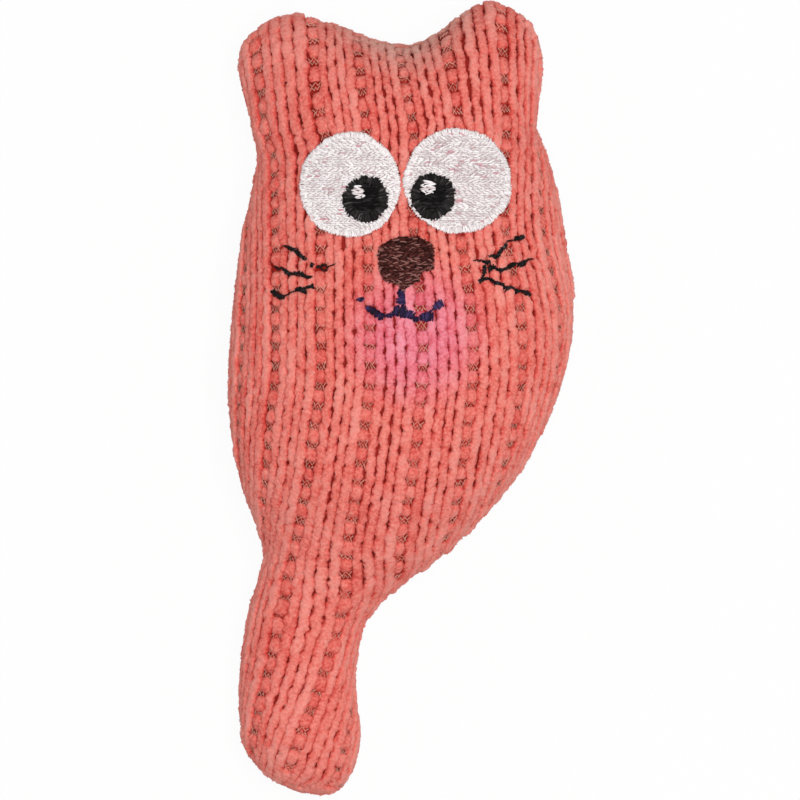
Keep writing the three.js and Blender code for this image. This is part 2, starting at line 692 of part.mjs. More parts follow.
// Eyes: a white patch with a pupil let into it, and a glint let into the pupil
function addEye(side, { width, height, rise }, inward, pupilInset, glint) {
  const grown = 2 * CLEARANCE;
  const eye = { x: FACE_X - (inward * (width + EYE_GAP)) / 2, y: EYE_Y + rise };
  const reach = (width - PUPIL_WIDTH) / 2 - pupilInset;
  const pupil = { x: eye.x + inward * reach, y: eye.y - PUPIL_DROP };
  const spark = { x: pupil.x + glint.x, y: pupil.y + glint.y };
  const pupilRoom = patchHole(ellipse(PUPIL_WIDTH + grown, PUPIL_HEIGHT + grown, PUPIL_SIDES), pupil);
  const sparkRoom = patchHole(ellipse(glint.width + grown, GLINT_HEIGHT + grown, GLINT_SIDES), spark);
  const white = patch(ellipse(width, height, EYE_SIDES), eye).subtract(pupilRoom);
  const black = patch(ellipse(PUPIL_WIDTH, PUPIL_HEIGHT, PUPIL_SIDES), pupil).subtract(sparkRoom);
  const shine = patch(ellipse(glint.width, GLINT_HEIGHT, GLINT_SIDES), spark);
  addPiece(`${side}_eye_white`, geometryOf(white), whiteThread);
  addPiece(`${side}_pupil`, geometryOf(black), blackThread);
  addPiece(`${side}_glint`, geometryOf(shine), whiteThread);
}

addEye('left', LEFT_EYE_SIZE, 1, LEFT_PUPIL_INSET, LEFT_GLINT);
addEye('right', RIGHT_EYE_SIZE, -1, RIGHT_PUPIL_INSET, RIGHT_GLINT);

// Nose, mouth and whiskers
addPiece('nose', geometryOf(patch(noseOutline(), NOSE)), brownThread);
const lipTop = [0, -NOSE_HEIGHT / 2 - CLEARANCE];
const lipFoot = [0, lipTop[1] - PHILTRUM];
const underNose = ([x, y]) => [x, lipFoot[1] + y];
const leftLip = solid(ribbonGeometry([lipTop, lipFoot, ...MOUTH_LEFT.map(underNose)], MOUTH_WIDTH));
const rightLip = solid(ribbonGeometry([lipFoot, ...MOUTH_RIGHT.map(underNose)], MOUTH_WIDTH));
addPiece('mouth', geometryOf(leftLip.add(rightLip)), plumThread);
for (const [name, points] of Object.entries(WHISKERS)) {
  addPiece(name, ribbonGeometry(points, WHISKER_WIDTH), blackThread);
}

export default toy;
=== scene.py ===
import json
import math

import bmesh
import bpy
import numpy as np
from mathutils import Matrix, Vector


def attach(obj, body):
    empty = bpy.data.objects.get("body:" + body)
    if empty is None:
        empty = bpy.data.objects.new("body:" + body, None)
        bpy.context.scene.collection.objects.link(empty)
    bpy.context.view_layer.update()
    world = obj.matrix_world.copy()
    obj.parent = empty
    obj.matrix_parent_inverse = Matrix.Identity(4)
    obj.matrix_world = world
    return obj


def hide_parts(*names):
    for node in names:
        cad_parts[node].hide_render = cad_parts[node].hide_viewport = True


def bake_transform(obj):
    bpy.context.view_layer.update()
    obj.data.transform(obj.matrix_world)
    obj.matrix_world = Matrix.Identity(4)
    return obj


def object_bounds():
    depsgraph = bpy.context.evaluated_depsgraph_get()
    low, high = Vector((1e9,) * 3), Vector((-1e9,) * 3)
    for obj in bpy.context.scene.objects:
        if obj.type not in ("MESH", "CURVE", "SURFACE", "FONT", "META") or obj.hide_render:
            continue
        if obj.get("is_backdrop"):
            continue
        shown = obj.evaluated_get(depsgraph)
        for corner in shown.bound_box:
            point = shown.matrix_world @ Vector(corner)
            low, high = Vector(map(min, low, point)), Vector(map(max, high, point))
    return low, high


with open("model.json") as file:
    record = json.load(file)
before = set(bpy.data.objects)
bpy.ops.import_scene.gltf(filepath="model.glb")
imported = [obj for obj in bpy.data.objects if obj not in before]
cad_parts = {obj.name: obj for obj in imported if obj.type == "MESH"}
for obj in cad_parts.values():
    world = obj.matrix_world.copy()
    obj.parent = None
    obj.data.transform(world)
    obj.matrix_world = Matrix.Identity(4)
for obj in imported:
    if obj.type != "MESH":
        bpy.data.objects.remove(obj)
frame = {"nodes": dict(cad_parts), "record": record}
CAD_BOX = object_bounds()

# Sizes are in millimetres, and meshes are scaled to metres when they are made
MM = 0.001

# Form: the outline's stations from brow to tail
STATION_Y = [58, 50, 36, 17, -1, -17.3, -31, -39, -48, -60, -70]
STATION_MIDDLE = [-1.2, 0.9, 0.9, 0.6, -1.7, -4.8, -8.8, -14.7, -20.2, -21.8, -21.2]
STATION_WIDTH = [61, 62.8, 68.8, 73, 69.8, 58.5, 41.2, 31.5, 25.2, 25, 25.8]
STATION_FRONT = [19.5, 20.5, 22.5, 24, 23.5, 20.5, 16, 13.5, 12, 11.5, 12]
STATION_BACK = [14, 15, 16.5, 17.5, 17, 15.5, 12.5, 11, 10.2, 10, 10.2]
LAST_STATION = len(STATION_Y) - 1
REST_CUT = 0.5
BULGE_POWER = 2.2
TAIL_END = 14.7
TIP_SHIFT = 5.4
EAR_SPAN = 65.4
EAR_MIDDLE = -2
CORNER_RISE = 12
DIP_RISE = 17.2
LEFT_EAR_RISE = 24.4
RIGHT_EAR_RISE = 27.7
DIP_AT = 0.1
LEFT_EAR_AT = 0.68
RIGHT_EAR_AT = 0.72
EAR_SQUARENESS = 6.9

# Knit: a purl column and four legs repeat across the cloth, and courses repeat along it
REPEAT = 5
# Pitch of the columns at each station, from one column to the next in this list
PITCH_COLUMNS = [-30, -5, 0, 10, 30]
TAIL_PITCH = [2.42, 2.7, 2.8, 2.55, 2.42]
PITCH = [
    [2.95, 2.65, 2.32, 2.2, 2.26, 2.22, *TAIL_PITCH],
    [2.13, 2.06, 2.1, 2.17, 2.2, 2.3, *TAIL_PITCH],
    [2.06, 2.02, 2.02, 2.24, 2.27, 2.3, *TAIL_PITCH],
    [2.35, 2.22, 2.12, 2.38, 2.36, 2.3, *TAIL_PITCH],
]
# Radius and lift of each column of the repeat, the purl column first
LEG_RADIUS = [1.36, 1.02, 1.0, 1.0, 1.1]
LEG_LIFT = [-0.55, -0.15, 0.02, -0.02, 0.14]
# A rope's radius as a share of the pitch, at heights from the tail to the ears
SHARE_Y = [-90, -50, 25, 48, 85]
RADIUS_SHARE = [0.465, 0.475, 0.48, 0.452, 0.435]
# Ropes: depth of their middles, step along them, length of a course and share of the form's slope in it, room
# at the seam, and the shortest rope
ROPE_SINK = 0.9
ROPE_STEP = 0.29
COURSE = 4.15
COURSE_SLOPE = 0.5
SEAM_CLEAR = 0.8
SHORTEST_ROPE = 4
# First column of each piece of knit
KNIT_PIECES = {"outer_left": -26, "left": -9, "right": 1, "outer_right": 11}
LAST_COLUMN = 26
ROPE_ANGLES = np.radians([-105, -84, -66, -50, -33, -17, 0, 17, 33, 50, 66, 84, 105, 180])
THREAD_ANGLES = np.radians([-150, -90, -30, 30, 90, 150])
# Cross-sections, as places to the side and up: a rope is flattened, with full edges, and a thread is round
ROPE_FLATNESS = 0.82
ROPE_FULLNESS = 0.75
ROPE_SIDE = np.sign(ROPE_ANGLES) * np.abs(np.sin(ROPE_ANGLES)) ** ROPE_FULLNESS
ROPE_UP = np.sign(np.cos(ROPE_ANGLES)) * np.abs(np.cos(ROPE_ANGLES)) ** ROPE_FULLNESS * ROPE_FLATNESS
ROPE = (ROPE_SIDE, ROPE_UP)
THREAD = (np.sin(THREAD_ANGLES), np.cos(THREAD_ANGLES))
# Points on one purl column down each side, which set how the columns run
FRONT_LINE = [
    (-7.4, 67), (-7.2, 42), (-6.3, 4), (-8.9, -17.7), (-11.6, -32.2), (-11.3, -40.8),
    (-12.4, -47.5), (-16, -59.2), (-19.3, -67.1), (-23.8, -78.8), (-26.6, -86),
]
BACK_LINE = [(2.4, 67), (2.8, 20), (0.2, -10), (-7, -32), (-15.5, -48), (-20.5, -62), (-24.5, -86)]
LINE_EASE = 9
# Where the embroidery draws columns sideways: x, y, reach and pull
PULLS = [(-17, 54.5, 6, 1.4)]
# How far the front ropes turn over the crown, as an angle, and how far the columns lean to the left there
CROWN_WRAP = 0.14
CROWN_LEAN = 2
CROWN_LEAN_RISE = 4.5

# Face: each eye's middle, width and height, and its pupil's middle
EYES = {"left": ((-10.5, 45.5), 21.5, 22.2), "right": ((12.3, 46.3), 22.7, 22.5)}
PUPILS = {"left": (-7.15, 42.3), "right": (6.95, 42.95)}
PUPIL_WIDTH = 9.5
PUPIL_HEIGHT = 9.8
# Each glint's width and height, and its place from the pupil's middle
GLINTS = {"left": (2.7, 3.0, (-1.5, 1.5)), "right": (3.7, 3.0, (-0.9, 1.8))}
NOSE = np.array([1.5, 29.05])
NOSE_WIDTH = 12.2
# The nose's left and right edges at heights over its middle
NOSE_RISE = [-6.2, -4.9, -4.1, -2.2, -1.5, 1.5, 3.4, 4.7, 5.6]
NOSE_LEFT = [-0.9, -1.8, -4.6, -5.6, -5.9, -6.2, -5.9, -3.6, -0.9]
NOSE_RIGHT = [-0.4, 0.7, 2.8, 3.2, 5.8, 5.9, 5.9, 3.9, 2.3]

# Stitched lines, as x, y and width in the photograph's pixels
PHOTO_MIDDLE = (399.5, 399)
PHOTO_SCALE = 0.21357
MOUTH_RUNS = [
    [(402.5, 288, 6), (402, 293, 9), (402.5, 299, 11), (403.5, 305, 14)],
    [(394, 311, 7), (399, 311, 12), (405, 312.5, 14), (410, 315, 11), (413, 317, 8)],
    [(366, 308, 3), (371, 310, 6), (376, 313.5, 7), (381, 317, 7), (384, 318, 4)],
    [(385, 315.5, 2.5), (390, 316, 4.5), (394, 313, 4), (398, 309, 5)],
    [(411, 316, 6), (414, 320, 4.5), (419, 319, 4)],
    [(420, 318, 5), (426, 317, 9), (433, 317, 8)],
    [(430, 312, 2), (435, 308, 2)],
    [(434, 308, 4), (438, 306, 8), (442, 303, 8)],
    [(357, 300, 1.5), (361, 300, 6), (363, 301, 4)],
]
WHISKER_RUNS = {
    "left_whisker_upper": [
        [(283, 246, 2), (288, 247.5, 4), (293, 250, 5.5), (297, 253, 5.5), (300, 256, 4.5), (306, 260, 3)],
        [(310.5, 267, 3), (312.5, 263, 4.5)],
        [
            (316.5, 267, 3), (320, 267, 4), (324, 264.8, 2.5),
            (327, 267.5, 2.5), (325, 271, 2.5), (321, 269, 2),
        ],
        [(328, 267, 1), (335, 264.5, 1)],
    ],
    "left_whisker_middle": [
        [(274, 266.5, 2), (279, 270, 3.5)],
        [(281, 268, 3), (285, 271, 4.5), (289, 274.5, 6), (292, 274, 2.5)],
        [(292, 274, 2.5), (297, 273.5, 6), (301, 274.5, 6.5), (305, 277, 4), (312, 277.5, 3.5)],
    ],
    "left_whisker_lower": [
        [(271.5, 291, 4), (275, 294, 6), (279, 297, 5.5), (285.5, 296.5, 4.5)],
        [(286, 295.5, 1.2), (292, 292, 1.2), (296, 291.5, 1.2)],
        [(295.5, 290, 4), (299, 289, 5), (302, 290, 5.5), (305.5, 294, 3)],
        [(303, 289, 3), (307, 287.5, 3), (310, 287, 4.5), (313.5, 286.5, 6.5)],
    ],
    "right_whisker_upper": [
        [(515, 239, 4), (520, 238, 6), (524.5, 237.5, 4)],
        [(507, 242, 2), (511, 240.7, 2), (516, 240.5, 2)],
        [(507, 245, 5), (502, 249, 6), (500, 253, 4), (498, 257, 5), (494, 256, 4), (489, 256.5, 2)],
        [(475, 260.5, 1.5), (482, 261, 3), (487, 262.5, 5), (491, 262.5, 4)],
    ],
    "right_whisker_middle": [
        [(489, 270, 5), (492, 267.5, 6.5), (496, 268, 2.5)],
        [(496, 268.5, 2.5), (500, 271, 5.5), (504, 270, 5), (509, 267, 4), (513, 265, 6), (517, 264, 3)],
        [(518, 265, 5), (522, 264.5, 7), (526, 262, 4), (529, 259.7, 2), (534, 259, 1)],
    ],
    "right_whisker_lower": [
        [(485, 266, 4), (484.5, 273, 4.5), (482.5, 277, 2.5), (480, 282, 4.5)],
        [
            (479.5, 282, 4), (485, 279.5, 4.5), (490, 279, 3.5),
            (494, 282, 4), (499, 284, 5.5), (503, 285.5, 5.5),
        ],
        [(503, 286, 5.5), (507, 289, 6.5), (512, 288, 4.5), (516, 291.5, 6), (521, 291, 2.5)],
        [(521, 291, 2.5), (526, 292.5, 5.5), (531, 295.5, 5)],
    ],
}

# Camera: straight down on the face, with the photograph's frame at the height of the outline
FRAME_WIDTH = 170.86
FRAME_X = 0.1
FRAME_Y = -0.2
OUTLINE_HEIGHT = 15
LENS = 1000
SENSOR = 36


def smoothstep(value, low, high):
    share = np.clip((value - low) / (high - low), 0, 1)
    return share * share * (3 - 2 * share)


def unit(vectors):
    return vectors / np.maximum(np.linalg.norm(vectors, axis=-1, keepdims=True), 1e-9)


def spline(values, t):
    """Smooth curve through values at whole numbers of t."""
    v = np.asarray(values, float)
    last = len(v) - 1
    i = np.clip(np.floor(t).astype(int), 0, last - 1)
    f = t - i
    a, b = v[np.maximum(i - 1, 0)], v[i]
    c, d = v[i + 1], v[np.minimum(i + 2, last)]
    cubic = (3 * (b - c) + d - a) * f**3 + (2 * a - 5 * b + 4 * c - d) * f**2
    return b + 0.5 * (cubic + (c - a) * f)


def curve(points, steps):
    """Smooth path through points, with steps parts between each two of them."""
    t = np.linspace(0, len(points) - 1, steps * (len(points) - 1) + 1)
    xy = np.asarray(points, float)
    return np.stack([spline(xy[:, 0], t), spline(xy[:, 1], t)], -1)


def seam_height(t):
    return spline(STATION_BACK, t) - REST_CUT


def bulge(u):
    return np.sqrt(np.maximum(0, 1 - np.abs(u) ** BULGE_POWER))


def crown_rise(u):
    left = (LEFT_EAR_RISE - DIP_RISE) * smoothstep(DIP_AT - u, 0, DIP_AT + LEFT_EAR_AT)
    right = (RIGHT_EAR_RISE - DIP_RISE) * smoothstep(u - DIP_AT, 0, RIGHT_EAR_AT - DIP_AT)
    corner = np.sqrt(np.maximum(0, 1 - np.abs(u) ** EAR_SQUARENESS))
    return CORNER_RISE + (DIP_RISE + left + right - CORNER_RISE) * corner


def form_rows(crown, body, tip, over=0.0):
    """Rows from crown to tail tip: each one's station, rise over the crown and turn round the tip."""
    rise = np.linspace(math.pi / 2 + over, 0, crown, endpoint=False)
    station = np.linspace(0, LAST_STATION, body, endpoint=False)
    end = np.linspace(0, math.pi / 2, tip)
    t = np.concatenate([np.zeros(crown), station, np.full(tip, float(LAST_STATION))])
    rises = np.concatenate([rise, np.zeros(body + tip)])
    ends = np.concatenate([np.zeros(crown + body), end])
    return np.stack([t, rises, ends], -1)


def form_point(theta, rows, side, inset):
    """Points of the stuffed form, theta across from seam to seam; side is 1 in front and -1 at the back."""
    t, rise, end = rows[..., 0], rows[..., 1], rows[..., 2]
    u = np.sin(theta)
    climb, close = np.sin(rise), np.cos(end)
    width = spline(STATION_WIDTH, t) * (1 - climb) + EAR_SPAN * climb
    middle = spline(STATION_MIDDLE, t) * (1 - climb) + EAR_MIDDLE * climb + TIP_SHIFT * (1 - close)
    x = middle + (width / 2 - inset) * close * u
    y = spline(STATION_Y, t) + (crown_rise(u) - inset) * climb - (TAIL_END - inset) * np.sin(end)
    swell = spline(STATION_FRONT if side > 0 else STATION_BACK, t) - inset
    z = seam_height(t) + side * swell * bulge(u) * np.cos(rise) * close
    return np.stack(np.broadcast_arrays(x, y, np.maximum(z, inset)), -1)


FACE_STEPS = 600
FACE_T = np.linspace(0, LAST_STATION, FACE_STEPS)
FACE_Y = spline(STATION_Y, FACE_T)


def face_height(xy):
    t = np.interp(-xy[..., 1], -FACE_Y, FACE_T)
    u = (xy[..., 0] - spline(STATION_MIDDLE, t)) / (spline(STATION_WIDTH, t) / 2)
    return seam_height(t) + spline(STATION_FRONT, t) * bulge(np.clip(u, -1, 1))


def on_face(xy, lift):
    """Points at a height over the front of the form, and the form's normals there."""
    step = 0.5
    xy = np.asarray(xy, float)
    slope_x = (face_height(xy + [step, 0]) - face_height(xy - [step, 0])) / (2 * step)
    slope_y = (face_height(xy + [0, step]) - face_height(xy - [0, step])) / (2 * step)
    normals = unit(np.stack([-slope_x, -slope_y, np.ones_like(slope_x)], -1))
    points = np.concatenate([xy, face_height(xy)[..., None]], -1)
    return points + normals * np.asarray(lift)[..., None], normals


def drift(rng, along, wavelength):
    """Smooth random wave between -1 and 1 along a length."""
    place = along / wavelength + rng.uniform()
    knots = rng.uniform(-1, 1, int(place[-1]) + 2)
    i = place.astype(int)
    f = place - i
    f = f * f * (3 - 2 * f)
    return knots[i] * (1 - f) + knots[i + 1] * f


def waves(rng, along, sizes):
    """Sum of random waves, given as pairs of size and wavelength."""
    return sum(size * drift(rng, along, wavelength) for size, wavelength in sizes)


def lengths(path):
    """Length along a path up to each of its points."""
    return np.concatenate([[0], np.cumsum(np.linalg.norm(np.diff(path, axis=0), axis=1))])


def at_lengths(s, length, values):
    """Rows of values, known at some lengths along a path, at the lengths s."""
    return np.stack([np.interp(s, length, column) for column in values.T], -1)


def tube_faces(rings, count, first=0):
    """Faces of a closed tube: rings of count points each, then the middles of its first and last ring."""
    around, turned = np.arange(count), np.roll(np.arange(count), -1)
    ring = first + np.arange(rings - 1)[:, None] * count
    sides = np.stack([ring + around, ring + turned, ring + count + turned, ring + count + around], -1)
    last, middles = first + (rings - 1) * count, first + rings * count
    start = np.stack([np.full(count, middles), first + turned, first + around], -1)
    end = np.stack([np.full(count, middles + 1), last + around, last + turned], -1)
    return sides.reshape(-1, 4), np.concatenate([start, end])


def add_object(name, data):
    piece = bpy.data.objects.new(name, data)
    bpy.context.scene.collection.objects.link(piece)
    return piece


def make_mesh(name, points, faces, shade, places, material):
    """Mesh object from points in millimetres and lists of faces that have the same number of corners."""
    mesh = bpy.data.meshes.new(name)
    corners = np.concatenate([f.ravel() for f in faces])
    counts = np.concatenate([np.full(len(f), f.shape[1]) for f in faces])
    starts = np.concatenate([[0], np.cumsum(counts)[:-1]])
    mesh.vertices.add(len(points))
    mesh.vertices.foreach_set("co", (points * MM).astype(np.float32).ravel())
    mesh.loops.add(len(corners))
    mesh.loops.foreach_set("vertex_index", corners.astype(np.int32))
    mesh.polygons.add(len(counts))
    mesh.polygons.foreach_set("loop_start", starts.astype(np.int32))
    mesh.update(calc_edges=True)
    mesh.validate()
    mesh.shade_smooth()
    mesh.attributes.new("shade", "FLOAT", "POINT").data.foreach_set("value", shade.astype(np.float32))
    if places is not None:
        mesh.uv_layers.new(name="OFBake").data.foreach_set("uv", places.astype(np.float32).ravel())
    mesh.materials.append(material)
    return add_object(name, mesh)


# Room round a strand in its cell of the bake map, and for the faces at its ends
CELL_ROOM = 0.04
TIP_ROOM = 0.03


class Strands:
    """Closed tubes that make one mesh, each with its own cell in the bake map."""

    def __init__(self, section, cell_rows=1):
        self.side, self.up = (line[:, None] for line in section)
        self.cell_rows = cell_rows
        self.tubes = []

    def add(self, centres, normals, radii, shades):
        along = unit(np.gradient(centres, axis=0))
        across = unit(np.cross(along, normals))
        outward = np.cross(across, along)
        spread = self.side * across[:, None] + self.up * outward[:, None]
        radii = np.broadcast_to(np.asarray(radii, float), (len(self.side), len(centres))).T
        rings = centres[:, None] + radii[..., None] * spread
        shades = np.broadcast_to(shades, radii.T.shape).T
        self.tubes.append((rings, centres, shades))
        return rings, centres, shades

    def build(self, name, material):
        k = len(self.side)
        columns = math.ceil(len(self.tubes) / self.cell_rows)
        points, shades, quads, tips, quad_places, tip_places = [], [], [], [], [], []
        count = 0
        for number, (rings, centres, shade) in enumerate(self.tubes):
            n = len(rings)
            points += [rings.reshape(-1, 3), centres[[0, -1]]]
            shades += [shade.ravel(), shade[[0, -1], 0]]
            sides, ends = tube_faces(n, k, count)
            quads.append(sides)
            tips.append(ends)
            count += n * k + 2
            left, base = (number % columns) / columns, (number // columns) / self.cell_rows
            u = left + (CELL_ROOM + (1 - 2 * CELL_ROOM) * np.arange(k + 1) / k) / columns
            v = base + (CELL_ROOM + (1 - 2 * CELL_ROOM) * np.arange(n) / (n - 1)) / self.cell_rows
            cell = np.stack(np.meshgrid(u, v), -1)
            square = [cell[:-1, :-1], cell[:-1, 1:], cell[1:, 1:], cell[1:, :-1]]
            quad_places.append(np.stack(square, -2).reshape(-1, 2))
            for row, beyond, order in ((0, -TIP_ROOM, (1, 0)), (-1, TIP_ROOM, (0, 1))):
                peak = (cell[row, :-1] + cell[row, 1:]) / 2 + [0, beyond / self.cell_rows]
                corners = [cell[row, o:k + o] for o in order]
                tip_places.append(np.stack([peak, *corners], 1).reshape(-1, 2))
        points = np.concatenate(points)
        points[:, 2] = np.maximum(points[:, 2], 0)
        faces = np.concatenate(quads), np.concatenate(tips)
        places = np.concatenate(quad_places + tip_places)
        return make_mesh(name, points, faces, np.concatenate(shades), places, material)


# Pile: tufts to a millimetre of rope, radius and depth of a tuft's root, its height, lean, and the painted
# light that makes its tip paler
TUFTS = 6
TUFT_RADIUS = (0.14, 0.27)
TUFT_SINK = 0.12
TUFT_HEIGHT = (0.1, 0.32)
TUFT_LEAN = 0.45
TUFT_TIP_LIGHT = 0.22
# A tuft's faces between three root corners and a tip, and the places of these in its cell of the bake map
TUFT_FACES = np.array([(0, 2, 1), (0, 1, 3), (1, 2, 3), (2, 0, 3)])
TUFT_CELL = np.array([(0.1, 0.1), (0.9, 0.1), (0.5, 0.9), (0.5, 0.37)])


class Tufts:
    """Tufts of pile that stand on ropes: closed spikes that make one mesh."""

    def __init__(self, rng):
        self.rng = rng
        self.corners = []
        self.shades = []

    def add(self, tube):
        """Scatter tufts over the upper side of a rope."""
        rings, centres, shades = tube
        rng = self.rng
        count = int(TUFTS * ROPE_STEP * len(rings))
        row = rng.integers(1, len(rings) - 1, count)
        column = rng.integers(1, len(ROPE_ANGLES) - 2, count)
        beside = rings[row, column + 1] - rings[row, column]
        ahead = rings[row + 1, column] - rings[row, column]
        root = rings[row, column] + rng.uniform(size=(count, 1)) * beside
        root = root + rng.uniform(size=(count, 1)) * ahead
        out = unit(unit(root - centres[row]) + TUFT_LEAN * rng.standard_normal((count, 3)))
        first = unit(np.cross(out, rng.standard_normal((count, 3))))
        second = np.cross(out, first)
        radius = rng.uniform(*TUFT_RADIUS, (count, 1))
        corners = []
        for turn in np.radians([0, 120, 240]):
            spread = math.cos(turn) * first + math.sin(turn) * second
            corners.append(root - TUFT_SINK * out + radius * spread)
        corners.append(root + rng.uniform(*TUFT_HEIGHT, (count, 1)) * out)
        self.corners.append(np.stack(corners, 1))
        tone = shades[row, column]
        # A tuft's tip is painted paler, as painted light
        self.shades.append(np.stack([tone, tone, tone, tone + TUFT_TIP_LIGHT], 1))

    def build(self, name, material):
        corners = np.concatenate(self.corners)
        corners[..., 2] = np.maximum(corners[..., 2], 0)
        count = len(corners)
        faces = (4 * np.arange(count)[:, None, None] + TUFT_FACES).reshape(-1, 3)
        cells = math.ceil(math.sqrt(count))
        cell = np.stack([np.arange(count) % cells, np.arange(count) // cells], -1)
        places = (cell[:, None, None] + TUFT_CELL[TUFT_FACES]) / cells
        shades = np.concatenate(self.shades).ravel()
        return make_mesh(name, corners.reshape(-1, 3), [faces], shades, places.reshape(-1, 2), material)


# Materials: noise scales are per metre, and colours stand at tones from 0 to 1

# Chenille, its pink round the mouth, and a paler, greyer tan at the crown's dip that is painted sheen
# The darkest stops of these ramps are reached by painted shade, in the eyelets and on rope sides deep between
# ropes
CORAL = [
    (0.0, (0.21, 0.032, 0.026)), (0.16, (0.36, 0.022, 0.016)), (0.34, (0.54, 0.053, 0.042)),
    (0.5, (0.67, 0.106, 0.086)), (0.66, (0.77, 0.19, 0.154)), (0.9, (0.83, 0.295, 0.249)),
]
PINK = [
    (0.0, (0.21, 0.032, 0.034)), (0.16, (0.36, 0.022, 0.026)), (0.34, (0.54, 0.056, 0.074)),
    (0.5, (0.67, 0.112, 0.155)), (0.66, (0.77, 0.2, 0.262)), (0.9, (0.83, 0.31, 0.385)),
]
TAN_SHEEN = [(0.2, (0.26, 0.05, 0.04)), (0.9, (0.74, 0.42, 0.35))]
# Where the pink and the tan's painted sheen lie: middle, radius, soft edge and strength
PINK_PLACE = ((3.3, 13.7, 40), 5, 14, 0.9)
TAN_SHEEN_PLACE = ((2, 80, 14), 5, 17, 0.75)
# What a tone of chenille is made of: a fine noise, a broad noise and the yarn's own shade, with their shares
FINE_NOISE = 1700
FINE_LOW = 0.17
FINE_SHARE = 0.75
BROAD_NOISE = 420
BROAD_SHARE = 0.26
YARN_SHARE = 0.45
# The knit's ground is painted darker than the yarn, as painted shade in the gaps between ropes
GROUND_TONES = [(0.3, (0.28, 0.02, 0.015)), (0.7, (0.42, 0.032, 0.024))]
GROUND_NOISE = 400
# Threads: roughness, specular level and colours; the lightest stops of the black thread are painted sheen on
# a few stitches, and those of the brown and plum threads are partly painted highlights
THREADS = {
    "white_thread": (0.6, 0.15, [
        (0.0, (0.72, 0.36, 0.4)), (0.15, (0.68, 0.46, 0.48)),
        (0.3, (0.66, 0.56, 0.56)), (0.85, (0.96, 0.92, 0.92)),
    ]),
    "black_thread": (0.5, 0.06, [
        (0.25, (0.002, 0.002, 0.002)), (0.65, (0.011, 0.009, 0.009)),
        (0.9, (0.03, 0.026, 0.027)), (1, (0.13, 0.11, 0.11)),
    ]),
    "brown_thread": (0.5, 0.08, [
        (0.25, (0.016, 0.003, 0.002)), (0.65, (0.11, 0.026, 0.022)), (0.9, (0.32, 0.14, 0.12)),
    ]),
    "plum_thread": (0.5, 0.12, [
        (0.25, (0.004, 0.002, 0.009)), (0.7, (0.022, 0.01, 0.052)), (1.0, (0.07, 0.045, 0.15)),
    ]),
    "coral_chenille": (0.95, 0.0, [(0.25, (0.55, 0.17, 0.13)), (0.85, (0.8, 0.4, 0.31))]),
    "seam_thread": (0.6, 0.1, [(0.25, (0.3, 0.03, 0.025)), (0.85, (0.72, 0.14, 0.11))]),
}
# What a thread's tone is made of: a noise, given as scale and detail, and the stitch's own shade
STRAND_NOISE = (1500, 2)
STRAND_SHARE = 0.4
STITCH_SHARE = 0.7
# Inside cloths: dark and light colour, and noise scale
INNER_CLOTH = {
    "fibrefill": ((0.7, 0.68, 0.62), (0.93, 0.91, 0.86), 300),
    "pouch_cloth": ((0.7, 0.67, 0.58), (0.86, 0.84, 0.77), 900),
    "dried_catnip": ((0.08, 0.1, 0.03), (0.3, 0.33, 0.12), 500),
    "backing_cloth": ((0.75, 0.74, 0.69), (0.92, 0.91, 0.87), 1200),
}
# Bumps: noise scale and detail, strength, and height in metres; an inside cloth has a scale of its own
CHENILLE_BUMPS = (1100, 3, 0.7, 0.0004)
GROUND_BUMPS = (1800, 2, 0.6, 0.0003)
THREAD_BUMPS = (5000, 1, 0.3, 0.0001)
CLOTH_BUMPS = (3, 0.5, 0.0004)


def new_material(name, roughness, sheen, specular):
    material = bpy.data.materials.new(name)
    material.use_nodes = True
    shader = material.node_tree.nodes["Principled BSDF"]
    shader.inputs["Roughness"].default_value = roughness
    shader.inputs["Specular IOR Level"].default_value = specular
    shader.inputs["Sheen Weight"].default_value = sheen
    return material, material.node_tree, shader


def add_node(tree, kind, inputs, **settings):
    """A node with its settings, whose inputs are values or are linked to other nodes."""
    node = tree.nodes.new(f"ShaderNode{kind}")
    for name, value in settings.items():
        setattr(node, name, value)
    for name, value in inputs.items():
        if isinstance(value, bpy.types.NodeSocket):
            tree.links.new(value, node.inputs[name])
        else:
            node.inputs[name].default_value = value
    return node


def object_place(tree):
    return add_node(tree, "TexCoord", {}).outputs["Object"]


def noise(tree, scale, detail=3.0):
    inputs = {"Vector": object_place(tree), "Scale": scale, "Detail": detail}
    return add_node(tree, "TexNoise", inputs).outputs["Fac"]


def math_node(tree, operation, first, second):
    return add_node(tree, "Math", {0: first, 1: second}, operation=operation).outputs[0]


def ramp(tree, factor, stops):
    node = tree.nodes.new("ShaderNodeValToRGB")
    elements = node.color_ramp.elements
    elements[0].position, elements[0].color = stops[0][0], (*stops[0][1], 1)
    elements[1].position, elements[1].color = stops[-1][0], (*stops[-1][1], 1)
    for position, colour in stops[1:-1]:
        elements.new(position).color = (*colour, 1)
    tree.links.new(factor, node.inputs["Fac"])
    return node.outputs["Color"]


def mix(tree, factor, first, second):
    return add_node(tree, "Mix", {"Factor": factor, 6: first, 7: second}, data_type="RGBA").outputs[2]


def shade_of(tree):
    return add_node(tree, "Attribute", {}, attribute_name="shade").outputs["Fac"]


def paint(tree, shader, colour, scale, detail, strength, height):
    """Give a shader its colour, and bumps from a noise."""
    tree.links.new(colour, shader.inputs["Base Color"])
    inputs = {"Strength": strength, "Distance": height, "Height": noise(tree, scale, detail)}
    tree.links.new(add_node(tree, "Bump", inputs).outputs["Normal"], shader.inputs["Normal"])


def near(tree, middle, radius, soft, strength):
    """The strength close to a point in millimetres, falling to 0 between radius and radius plus soft."""
    ends = {0: object_place(tree), 1: tuple(c * MM for c in middle)}
    far = add_node(tree, "VectorMath", ends, operation="DISTANCE").outputs["Value"]
    inputs = {"Value": far, "From Min": (radius + soft) * MM, "From Max": radius * MM}
    close = add_node(tree, "MapRange", inputs, interpolation_type="SMOOTHSTEP").outputs["Result"]
    return math_node(tree, "MULTIPLY", close, strength)


